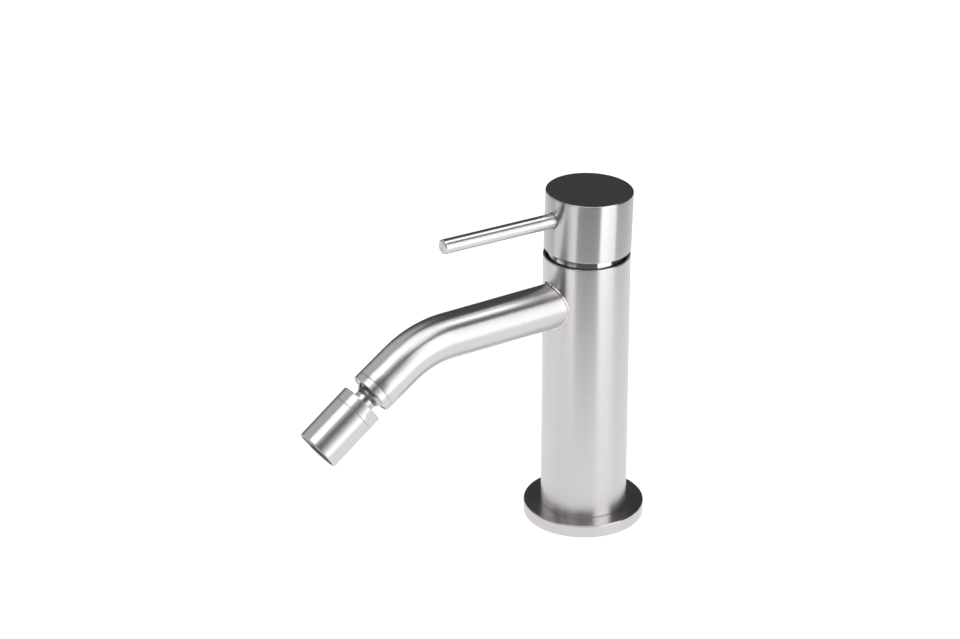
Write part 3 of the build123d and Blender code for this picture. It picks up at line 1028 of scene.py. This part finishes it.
@dataclass
class Handle:
    """The cap and its lever, tilted together about the cartridge's pivot.

    Attributes:
        pivot: Height of the pivot.
        lift: How far the lever is raised, in degrees.
        radius: Outer radius of the cap.
        foot: Height of its lower edge.
        top: Height of its top.
        skirt: Thickness of its skirt.
        roof: Height of the cavity's roof.
        socket: Side of the square socket for the stem.
        socket_top: Height of the socket's end.
        top_rounding: Bevel of the upper edge.
        foot_rounding: Bevel of the lower edge.
        lever_height: Height of the lever's axis.
        lever_radius: Radius of the lever.
        lever_reach: Distance from the column's axis to the lever's tip.
        lever_root: Distance from the axis to the lever's shoulder.
        thread_radius: Radius of the lever's thread.
        thread_end: Distance from the axis to the thread's end.
        bore_start: Distance from the axis to the inner end of the thread's bore.
        hole_clearance: Gap round the lever where it goes in.
        hole_floor: Distance from the axis to the floor of the lever's hole.
        tip_rounding: Bevel of the lever's tip.
        steps: Steps of the cap's full turn.
        lever_steps: Steps of the lever's full turn.
    """

    pivot: float = 133.0
    lift: float = 1.76
    radius: float = 21.0
    foot: float = 143.1
    top: float = 172.3
    skirt: float = 1.2
    roof: float = 148.1
    socket: float = 8.1
    socket_top: float = 164.65
    top_rounding: float = 0.4
    foot_rounding: float = 0.3
    lever_height: float = 160.8
    lever_radius: float = 3.6
    lever_reach: float = 82.5
    lever_root: float = 18.55
    thread_radius: float = 2.95
    thread_end: float = 11.55
    bore_start: float = 2.0
    hole_clearance: float = 0.35
    hole_floor: float = 18.5
    tip_rounding: float = 0.5
    steps: int = 192
    lever_steps: int = 96

    def place(self) -> Matrix:
        """The tilt of the whole handle about the pivot."""
        up = Matrix.Translation((0.0, 0.0, self.pivot))
        return up @ Matrix.Rotation(math.radians(-self.lift), 4, "X") @ up.inverted()

    def lever_place(self) -> Matrix:
        """Place of the lever, whose Z runs outwards along it."""
        return self.place() @ along(Vector((0.0, 0.0, self.lever_height)), Vector((0.0, -1.0, 0.0)))

    def cap(self) -> Piece:
        """The cap, with its cavity, the stem's socket and the lever's hole."""
        cavity = self.radius - self.skirt
        outline = [
            Corner(0.0, self.roof),
            Corner(cavity, self.roof),
            Corner(cavity, self.foot),
            Corner(self.radius, self.foot, self.foot_rounding),
            Corner(self.radius, self.top, self.top_rounding),
            Corner(0.0, self.top),
        ]
        made = Piece("cap_shell", turned(outline, self.steps), self.place())
        half = self.socket / 2
        socket = box(Vector((-half, -half, self.roof - OVERRUN)), Vector((half, half, self.socket_top)))
        made.carve(Piece("socket_cutter", socket, self.place()))
        hole = self.lever_radius + self.hole_clearance
        outside = self.radius + 2 * OVERRUN
        bore = [
            Corner(0.0, self.bore_start),
            Corner(self.thread_radius, self.bore_start),
            Corner(self.thread_radius, self.hole_floor),
            Corner(hole, self.hole_floor),
            Corner(hole, outside),
            Corner(0.0, outside),
        ]
        made.carve(Piece("bore_cutter", turned(bore, self.lever_steps), self.lever_place()))
        return made

    def lever(self) -> Piece:
        """The round lever with its threaded end."""
        outline = [
            Corner(0.0, self.thread_end),
            Corner(self.thread_radius, self.thread_end),
            Corner(self.thread_radius, self.lever_root),
            Corner(self.lever_radius, self.lever_root),
            Corner(self.lever_radius, self.lever_reach, self.tip_rounding),
            Corner(0.0, self.lever_reach),
        ]
        return Piece("lever_round", turned(outline, self.lever_steps), self.lever_place())

    def build(self) -> None:
        """Builds and dresses the cap and the lever."""
        cap = self.cap()
        cap.dress(FINISHES.cap, Slot.BRUSHED, Body.HANDLE, "handle_cap")
        # The top's darker, browner colour is painted shade; its even gloss keeps drawn-out highlights off the
        # top
        cap.face(FINISHES.cap_top, self.top)
        self.lever().dress(FINISHES.lever, Slot.BRUSHED, Body.HANDLE, "lever_rod")


@dataclass
class Spout:
    """The bent tube with its weld at the column and the ring that holds the ball.

    Attributes:
        height: Height of the tube's straight run.
        radius: Outer radius of the tube.
        wall: Thickness of its wall.
        start: Distance from the column's axis to the tube's inner end.
        bend_reach: Distance from the axis to the corner of the bend.
        bend_radius: Radius of the bend.
        bend_angle: How far it bends down, in degrees.
        end_length: Length from that corner to the end ring.
        end_rounding: Bevel of the tube's end and of the ring's edge there.
        rings: Steps along the straight run, the bend and the end run.
        ball_inset: Distance from the ring's back to the ball's centre.
        column_radius: Outer radius of the column.
        weld_radius: How far the weld reaches from the tube and from the column.
        weld_bulge: How far its bead stands proud of the flat between its edges.
        weld_depth: How deep its inner edge lies in the tube and the column.
        weld_steps: Steps of its section from the tube to the column.
        ring_length: Visible length of the end ring.
        ring_rounding: Bevel of its front edge.
        spigot_length: Length of its thread inside the tube.
        spigot_radius: Radius of the thread.
        land: Inner radius of the ring's bright rim.
        land_rounding: Bevel of that rim's inner edge and of the lip's.
        groove: Inner radius of the groove.
        groove_depth: Depth of the groove.
        step: How far the inner face sits back.
        socket_radius: Radius of the round seat for the ball.
        socket_clearance: How much wider the ring is behind that seat.
        socket_steps: Steps of the seat's arc.
        steps: Steps round the tube.
    """

    height: float = 116.9
    radius: float = 11.0
    wall: float = 1.5
    start: float = 16.0
    bend_reach: float = 93.6
    bend_radius: float = 46.0
    bend_angle: float = 33.9
    end_length: float = 30.2
    end_rounding: float = 0.2
    rings: tuple[int, int, int] = (6, 24, 3)
    ball_inset: float = 0.8
    column_radius: float = 21.0
    weld_radius: float = 1.0
    weld_bulge: float = 0.3
    weld_depth: float = 0.3
    weld_steps: int = 6
    ring_length: float = 3.8
    ring_rounding: float = 0.3
    spigot_length: float = 5.0
    spigot_radius: float = 9.45
    land: float = 9.8
    land_rounding: float = 0.1
    groove: float = 9.0
    groove_depth: float = 0.9
    step: float = 0.3
    socket_radius: float = 8.06
    socket_clearance: float = 0.06
    socket_steps: int = 8
    steps: int = 128

    def direction(self) -> Vector:
        """The direction of the tube's end."""
        angle = math.radians(self.bend_angle)
        return Vector((0.0, -math.cos(angle), -math.sin(angle)))

    def ball_centre(self) -> Vector:
        """Centre of the swivel ball."""
        corner = Vector((0.0, -self.bend_reach, self.height))
        return corner + self.direction() * (self.end_length + self.ball_inset)

    def runs(self) -> tuple[float, float, float]:
        """Lengths of the straight run, the bend and the end run."""
        angle = math.radians(self.bend_angle)
        tangent = self.bend_radius * math.tan(angle / 2)
        return (self.bend_reach - tangent - self.start, self.bend_radius * angle, self.end_length - tangent)

    def bent(self, place: Vector) -> Vector:
        """Moves a point of the straight tube onto the bent one.

        Args:
            place: Its place across and along the straight tube.

        Returns:
            Its place in the shared frame, in millimetres.
        """
        straight, bend, _ = self.runs()
        length = place.z
        angle = min(max(length - straight, 0.0), bend) / self.bend_radius
        outwards = Vector((0.0, -math.sin(angle), math.cos(angle)))
        forwards = Vector((0.0, -math.cos(angle), -math.sin(angle)))
        centre = Vector((0.0, -self.start - straight, self.height - self.bend_radius))
        spare = min(length - straight, 0.0) + max(length - straight - bend, 0.0)
        aside = Vector((place.x, 0.0, 0.0))
        return centre + outwards * (self.bend_radius + place.y) + forwards * spare + aside

    def stations(self) -> list[float]:
        """Lengths along the tube at which it has a ring of edges."""
        made = [0.0]
        for length, count in zip(self.runs(), self.rings):
            start = made[-1]
            made += [start + length * share / count for share in range(1, count + 1)]
        return made

    def tube(self) -> tuple[Piece, list[Vector]]:
        """The bent tube.

        Returns:
            The piece and its straightened places in metres.
        """
        made = bmesh.new()
        bmesh.ops.create_circle(made, segments=self.steps, radius=self.radius, cap_ends=False)
        edges = list(made.edges)
        stations = self.stations()
        for low, high in zip(stations, stations[1:]):
            edges = extruded(made, edges)
            bmesh.ops.translate(made, vec=(0, 0, high - low), verts=ends_of(edges))
        bmesh.ops.recalc_face_normals(made, faces=made.faces)
        bmesh.ops.solidify(made, geom=made.faces, thickness=self.wall)
        bevel_ring(made, Corner(self.radius, stations[-1], self.end_rounding))
        made.verts.index_update()
        straight = [vert.co * METRES_PER_MM for vert in made.verts]
        for vert in made.verts:
            vert.co = self.bent(vert.co)
        bmesh.ops.recalc_face_normals(made, faces=made.faces)
        return Piece("spout_bend", made), straight

    def weld(self) -> tuple[Piece, list[Vector]]:
        """The rounded bead where the tube meets the column.

        Returns:
            The piece and its straightened places in metres.
        """
        made = bmesh.new()
        reach = self.radius + self.weld_radius
        bmesh.ops.create_circle(made, segments=self.steps, radius=reach, cap_ends=False)
        edges = first = list(made.edges)
        for stage in range(self.weld_steps + 2):
            if stage:
                edges = extruded(made, edges)
            for vert in ends_of(edges):
                rise = vert.co.z - self.height if stage else vert.co.y
                vert.co = self.weld_point(math.atan2(rise, vert.co.x), stage)
        bmesh.ops.bridge_loops(made, edges=[*first, *edges])
        bmesh.ops.recalc_face_normals(made, faces=made.faces)
        made.verts.index_update()
        places = [Vector((vert.co.x, vert.co.z - self.height, -vert.co.y)) for vert in made.verts]
        return Piece("spout_bead", made), [place * METRES_PER_MM for place in places]

    def weld_point(self, angle: float, stage: int) -> Vector:
        """A point of the weld's section: on the tube, then over the bead to the column, then inside.

        Args:
            angle: Angle round the tube.
            stage: Number of the point in the section.

        Returns:
            The point in the shared frame, in millimetres.
        """
        side, rise = math.cos(angle), math.sin(angle)
        up = Vector((0.0, 0.0, self.height))
        if stage > self.weld_steps:
            inside = self.radius - self.weld_depth
            depth = math.sqrt((self.column_radius - self.weld_depth) ** 2 - (inside * side) ** 2)
            return Vector((inside * side, -depth, inside * rise)) + up
        reach = self.radius + self.weld_radius
        far = self.column_radius + self.weld_radius
        centre = Vector((reach * side, -math.sqrt(far**2 - (reach * side) ** 2), reach * rise))
        on_tube = Vector((self.radius * side, centre.y, self.radius * rise))
        share = self.column_radius / far
        on_column = Vector((centre.x * share, centre.y * share, centre.z))
        along_bead = stage / self.weld_steps
        # A parabola that is 0 at the bead's edges and 1 half way between them
        arch = 4 * along_bead * (1 - along_bead)
        point = on_tube.lerp(on_column, along_bead)
        point += (centre - point).normalized() * self.weld_bulge * arch
        return point + up

    def end_ring(self) -> Piece:
        """The screwed ring that holds the ball, with its groove and its round lip."""
        back = -self.ball_inset
        face = back + self.ring_length
        lip = face - self.step
        bore = self.socket_radius + self.socket_clearance
        outline = [
            Corner(bore, back - self.spigot_length),
            Corner(self.spigot_radius, back - self.spigot_length),
            Corner(self.spigot_radius, back),
            Corner(self.radius, back, self.end_rounding),
            Corner(self.radius, face, self.ring_rounding),
            Corner(self.land, face, self.land_rounding),
            Corner(self.land, face - self.groove_depth),
            Corner(self.groove, face - self.groove_depth),
            Corner(self.groove, lip, self.land_rounding),
            *arc(self.socket_radius, math.asin(lip / self.socket_radius), 0.0, self.socket_steps),
            Corner(bore, 0.0),
        ]
        place = along(self.ball_centre(), self.direction())
        return Piece("end_ring_lip", turned(outline, self.steps), place)

    def build(self) -> None:
        """Builds and dresses the tube, its weld and its end ring."""
        tube, straight = self.tube()
        tube.dress(FINISHES.tube, Slot.BRUSHED, Body.COLUMN, "spout_tube", straight=straight)
        weld, straight = self.weld()
        weld.dress(FINISHES.weld, Slot.POLISHED, Body.COLUMN, "spout_weld", straight=straight)
        self.end_ring().dress(FINISHES.aerator, Slot.BRUSHED, Body.COLUMN, "spout_end_ring")


@dataclass
class Aerator:
    """The swivelling aerator: ball and neck, collar with spanner flats, and sleeve.

    Attributes:
        centre: Centre of the ball.
        drop: Angle of its axis below the horizontal, in degrees.
        ball_radius: Radius of the ball.
        ball_start: Where the ball is cut off, from its centre.
        neck_radius: Radius of the neck.
        spigot_radius: Radius of the neck's thread.
        bore: Radius of the water way.
        radius: Outer radius of the collar and sleeve.
        collar_start: Where the collar begins.
        collar_end: Where the sleeve begins.
        thread_end: Where the neck's thread ends.
        thread_clearance: Gap round the neck's thread and the collar's spigot.
        chamber: Radius of the collar's chamber.
        insert_radius: Radius of the collar's spigot.
        spigot_end: Where the collar's spigot ends.
        flat_depth: Depth of the spanner flats.
        flat_height: Height of the spanner flats.
        end: Where the sleeve ends.
        outlet_radius: Inner radius of the outlet's rim.
        outlet_recess: Depth of the recess at the outlet.
        lip_radius: Inner radius of the lip.
        lip_height: Height of the lip.
        collar_rounding: Bevel of the collar's edge at the neck.
        joint_rounding: Bevel of the edges where collar and sleeve meet.
        end_rounding: Bevel of the sleeve's outer end.
        outlet_rounding: Bevel of the outlet's rim.
        lip_rounding: Bevel of the lip.
        ball_steps: Steps of the ball's arc.
        steps: Steps of a full turn.
    """

    centre: Vector
    drop: float = 35.95
    ball_radius: float = 8.0
    ball_start: float = -6.6
    neck_radius: float = 5.35
    spigot_radius: float = 4.6
    bore: float = 3.0
    radius: float = 11.0
    collar_start: float = 8.7
    collar_end: float = 15.1
    thread_end: float = 13.6
    thread_clearance: float = 0.05
    chamber: float = 6.8
    insert_radius: float = 9.4
    spigot_end: float = 20.6
    flat_depth: float = 0.55
    flat_height: float = 4.2
    end: float = 39.3
    outlet_radius: float = 10.0
    outlet_recess: float = 2.0
    lip_radius: float = 8.5
    lip_height: float = 0.8
    collar_rounding: float = 0.4
    joint_rounding: float = 0.2
    end_rounding: float = 0.46
    outlet_rounding: float = 0.12
    lip_rounding: float = 0.1
    ball_steps: int = 24
    steps: int = 160

    def place(self) -> Matrix:
        """Place of the aerator, whose Z runs out of its outlet."""
        angle = math.radians(self.drop)
        return along(self.centre, Vector((0.0, -math.cos(angle), -math.sin(angle))))

    def ball(self) -> Piece:
        """The ball and its neck."""
        low = math.asin(self.ball_start / self.ball_radius)
        high = math.acos(self.neck_radius / self.ball_radius)
        outline = [
            Corner(self.bore, self.ball_start),
            *arc(self.ball_radius, low, high, self.ball_steps),
            Corner(self.neck_radius, self.collar_start),
            Corner(self.spigot_radius, self.collar_start),
            Corner(self.spigot_radius, self.thread_end),
            Corner(self.bore, self.thread_end),
        ]
        return Piece("swivel_neck", turned(outline, self.steps), self.place())

    def collar(self) -> Piece:
        """The collar with its two spanner flats."""
        neck = self.spigot_radius + self.thread_clearance
        outline = [
            Corner(neck, self.collar_start),
            Corner(self.radius, self.collar_start, self.collar_rounding),
            Corner(self.radius, self.collar_end, self.joint_rounding),
            Corner(self.insert_radius, self.collar_end),
            Corner(self.insert_radius, self.spigot_end),
            Corner(self.chamber, self.spigot_end),
            Corner(self.chamber, self.thread_end),
            Corner(neck, self.thread_end),
        ]
        made = Piece("collar_flats", turned(outline, self.steps), self.place())
        flat = self.radius - self.flat_depth
        for side in (-1, 1):
            edges = sorted((side * flat, side * (self.radius + OVERRUN)))
            low = Vector((edges[0], -self.radius, self.collar_start - OVERRUN))
            high = Vector((edges[1], self.radius, self.collar_start + self.flat_height))
            made.carve(Piece("flat_cutter", box(low, high), self.place()))
        return made

    def sleeve(self) -> Piece:
        """The outer sleeve with its thin outlet rim."""
        bore = self.insert_radius + self.thread_clearance
        recess = self.end - self.outlet_recess
        outline = [
            Corner(bore, self.collar_end),
            Corner(self.radius, self.collar_end, self.joint_rounding),
            Corner(self.radius, self.end, self.end_rounding),
            Corner(self.outlet_radius, self.end, self.outlet_rounding),
            Corner(self.outlet_radius, recess),
            Corner(self.lip_radius, recess, self.lip_rounding),
            Corner(self.lip_radius, recess - self.lip_height),
            Corner(bore, recess - self.lip_height),
        ]
        return Piece("sleeve_outlet", turned(outline, self.steps), self.place())

    def build(self) -> None:
        """Builds and dresses the ball, the collar and the sleeve."""
        # The ball's darker colour is painted shade, for the recess between the end ring and the collar
        self.ball().dress(FINISHES.ball, Slot.POLISHED, Body.AERATOR, "swivel_ball")
        self.collar().dress(FINISHES.aerator, Slot.BRUSHED, Body.AERATOR, "aerator_collar")
        self.sleeve().dress(FINISHES.aerator, Slot.BRUSHED, Body.AERATOR, "aerator_sleeve")


def dress_carried(nodes: dict[str, bpy.types.Object], slots: dict[str, str]) -> None:
    """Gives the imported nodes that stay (base block, cartridge and small rings) the finish of their slot.

    Args:
        nodes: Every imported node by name.
        slots: Material slot of each node by name.
    """
    carried = FINISHES.carried()
    for name, node in sorted(nodes.items()):
        finish = carried[Slot(slots[name])]
        for place in node.material_slots:
            place.material = finish.material()
        if not node.hide_render:
            LOG.info("%s keeps its solid, in %s", name, finish.name)


# Studio


def compass(azimuth: float, elevation: float) -> Vector:
    """Unit vector towards an azimuth, in degrees from -Y towards +X, and an elevation."""
    turn, rise = math.radians(azimuth), math.radians(elevation)
    return Vector((math.sin(turn) * math.cos(rise), -math.cos(turn) * math.cos(rise), math.sin(rise)))


def aim(item: bpy.types.Object, target: Vector, azimuth: float, elevation: float, distance: float) -> None:
    """Stands a camera or lamp off from a point and turns it to look at that point.

    Args:
        item: The camera or lamp.
        target: The point, in metres.
        azimuth: Where the item stands, in degrees from -Y towards +X.
        elevation: Degrees above the horizon.
        distance: Distance from the point in metres.
    """
    towards = compass(azimuth, elevation)
    item.location = target + towards * distance
    item.rotation_mode = "QUATERNION"
    item.rotation_quaternion = towards.to_track_quat("Z", "Y")


@dataclass(frozen=True)
class Softbox:
    """A soft rectangular lamp that looks at the mixer.

    Attributes:
        name: The lamp's name.
        azimuth: Where it stands, in degrees from -Y towards +X.
        elevation: Degrees above the horizon.
        distance: Distance from the mixer in metres.
        width: Its width in metres.
        height: Its height in metres.
        radiance: Its brightness, where 1 is white.
    """

    name: str
    azimuth: float
    elevation: float
    distance: float
    width: float
    height: float
    radiance: float

    def build(self, target: Vector) -> None:
        """Adds the lamp.

        Args:
            target: The point that it looks at, in metres.
        """
        lamp = bpy.data.lights.new(self.name, "AREA")
        lamp.shape = "RECTANGLE"
        lamp.size, lamp.size_y = self.width, self.height
        lamp.energy = self.radiance * math.pi * self.width * self.height
        aim(shown(self.name, lamp), target, self.azimuth, self.elevation, self.distance)


@dataclass
class Studio:
    """The pale floor, the dark room round it, the lamps and the camera.

    Attributes:
        target: The point that the camera looks at, in millimetres.
        azimuth: Where the camera stands, in degrees from -Y towards +X.
        elevation: Its degrees above the horizon.
        distance: Its distance from the target in millimetres.
        lens: Focal length in millimetres.
        sensor: Sensor width in millimetres.
        clip: Nearest and farthest distance that it sees, in metres.
        floor_front: Distance from the mixer to the floor's edge towards the camera, in metres.
        floor_back: Distance to its far edge.
        floor_left: Distance to its edge on the camera's left.
        floor_right: Distance to its edge on the camera's right.
        floor_drop: How far it lies below the mixer's underside, in metres.
        floor_colour: Grey of the floor.
        floor_glow: Brightness that the floor adds for the camera and the metal.
        camera_glow: Brightness that it adds for the camera alone.
        room_radius: Radius of the dark room in metres.
        room_rings: Steps from the room's floor to its top, half of those round it.
        room_colour: Tint of the room.
        room_glow: Brightness of the room behind the mixer.
        room_glow_near: Brightness of the room on the camera's side.
        room_turn: Cosines from the camera's side between which the brightness changes.
        background: Brightness of the white background for diffuse rays, where the others see 1.
        lamp_target: The point that the lamps look at, in metres.
        lamps: The soft lamps.
    """

    target: Vector = field(default_factory=lambda: Vector((-27.79, -42.75, 104.09)))
    azimuth: float = 56.97
    elevation: float = 26.187
    distance: float = 1732.3
    lens: float = 134.76
    sensor: float = 36.0
    clip: tuple[float, float] = (0.01, 100.0)
    floor_front: float = 0.27
    floor_back: float = 0.9
    floor_left: float = 0.5
    floor_right: float = 0.46
    floor_drop: float = 0.0002
    floor_colour: float = 0.5
    floor_glow: float = 0.71
    camera_glow: float = 0.17
    room_radius: float = 4.0
    room_rings: int = 24
    room_colour: tuple[float, float, float] = (0.9, 0.88, 0.92)
    room_glow: float = 0.055
    room_glow_near: float = 0.13
    room_turn: tuple[float, float] = (0.3, 0.95)
    background: float = 0.4
    lamp_target: Vector = field(default_factory=lambda: Vector((0.0, -0.05, 0.09)))
    lamps: tuple[Softbox, ...] = (
        Softbox("top_softbox", 58.0, 78.0, 1.2, 0.97, 1.17, 1.45),
        Softbox("right_softbox", 108.5, 4.0, 2.4, 1.85, 4.0, 1.9),
        Softbox("left_card", 354.0, -18.0, 1.2, 1.5, 0.34, 1.8),
        Softbox("left_softbox", 298.0, 36.0, 1.2, 1.28, 1.17, 0.55),
        Softbox("front_strip", 2.0, 54.0, 1.2, 0.7, 0.3, 3.0),
        Softbox("back_strip", 180.0, 60.0, 1.2, 0.6, 0.3, 2.6),
    )

    def camera(self) -> None:
        """Adds the camera at the photograph's viewing angle."""
        lens = bpy.data.cameras.new("camera")
        lens.lens = self.lens
        lens.sensor_width = self.sensor
        lens.clip_start, lens.clip_end = self.clip
        made = shown("camera", lens)
        distance = self.distance * METRES_PER_MM
        aim(made, self.target * METRES_PER_MM, self.azimuth, self.elevation, distance)
        bpy.context.scene.camera = made

    def seen(self, wiring: Wiring) -> Socket:
        """Adds a test of the ray: one for camera, glossy and transmission rays, else zero.

        Args:
            wiring: The wiring to add to.

        Returns:
            The result's socket.
        """
        rays = wiring.node("ShaderNodeLightPath").outputs
        metal = wiring.math("MAXIMUM", rays["Is Glossy Ray"], rays["Is Transmission Ray"])
        return wiring.math("MAXIMUM", rays["Is Camera Ray"], metal)

    def floor(self) -> None:
        """Adds the pale floor, square to the camera."""
        shape = bmesh.new()
        bmesh.ops.create_grid(shape, x_segments=1, y_segments=1, size=0.5)
        size = (self.floor_left + self.floor_right, self.floor_front + self.floor_back, 1.0)
        bmesh.ops.scale(shape, vec=size, verts=shape.verts)
        middle = ((self.floor_right - self.floor_left) / 2, (self.floor_back - self.floor_front) / 2, 0.0)
        bmesh.ops.translate(shape, vec=middle, verts=shape.verts)
        turn = Matrix.Rotation(math.radians(self.azimuth), 4, "Z")
        bmesh.ops.transform(shape, matrix=turn, verts=shape.verts)
        made = shown("floor", settled("floor", shape))
        made.location = (0.0, 0.0, -self.floor_drop)
        material, wiring = blank_material("pale_floor")
        matt = wiring.node("ShaderNodeBsdfDiffuse")
        wiring.feed(matt.inputs["Color"], (self.floor_colour, self.floor_colour, self.floor_colour, 1.0))
        glow = wiring.node("ShaderNodeEmission")
        camera_ray = wiring.node("ShaderNodeLightPath").outputs["Is Camera Ray"]
        more = wiring.math("MULTIPLY", camera_ray, self.camera_glow)
        strength = wiring.math("MULTIPLY_ADD", self.seen(wiring), self.floor_glow, more)
        wiring.feed(glow.inputs["Strength"], strength)
        both = wiring.node("ShaderNodeAddShader")
        wiring.feed(both.inputs[0], matt.outputs[0])
        wiring.feed(both.inputs[1], glow.outputs[0])
        wiring.show(both)
        material.cycles.emission_sampling = "NONE"
        made.data.materials.append(material)

    def room(self) -> None:
        """Adds the dark room that the metal sees beyond the floor, lighter on the camera's side."""
        shape = bmesh.new()
        rings, radius = self.room_rings, self.room_radius
        bmesh.ops.create_uvsphere(shape, u_segments=2 * rings, v_segments=rings, radius=radius)
        bmesh.ops.reverse_faces(shape, faces=shape.faces)
        made = shown("room", settled("room", shape))
        material, wiring = blank_material("dark_room")
        glow = wiring.node("ShaderNodeEmission")
        towards = wiring.node("ShaderNodeVectorMath", operation="DOT_PRODUCT")
        wiring.feed(towards.inputs[0], wiring.node("ShaderNodeTexCoord").outputs["Normal"])
        wiring.feed(towards.inputs[1], -compass(self.azimuth, 0.0))
        ends = (self.room_glow, self.room_glow_near)
        strength = wiring.remap(towards.outputs["Value"], *self.room_turn, ends)
        wiring.feed_all(glow, {"Color": (*self.room_colour, 1.0), "Strength": strength})
        wiring.show(glow)
        material.cycles.emission_sampling = "NONE"
        made.data.materials.append(material)
        made.visible_camera = False
        made.visible_shadow = False

    def world(self) -> None:
        """Sets the white background, which is dimmer for diffuse rays."""
        made = bpy.data.worlds.new("studio")
        made.use_nodes = True
        bpy.context.scene.world = made
        wiring = Wiring(made.node_tree)
        strength = wiring.remap(self.seen(wiring), 0.0, 1.0, (self.background, 1.0))
        back = made.node_tree.nodes["Background"]
        wiring.feed_all(back, {"Color": (1.0, 1.0, 1.0, 1.0), "Strength": strength})

    def build(self) -> None:
        """Builds the studio and sets the plain view transform."""
        self.camera()
        self.floor()
        self.room()
        self.world()
        for lamp in self.lamps:
            lamp.build(self.lamp_target)
        bpy.context.scene.view_settings.view_transform = "Standard"


def main() -> None:
    """Builds the mixer's sub-assemblies in order, then the studio."""
    logging.basicConfig(level=logging.INFO, format="%(name)s: %(message)s")
    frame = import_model()
    slots = {part["node"]: part["material_slot"] for part in frame["record"]["subparts"]}
    spout = Spout()
    for assembly in (Column(), Handle(), spout, Aerator(centre=spout.ball_centre())):
        assembly.build()
    dress_carried(frame["nodes"], slots)
    Studio().build()


if __name__ == "__main__":
    main()
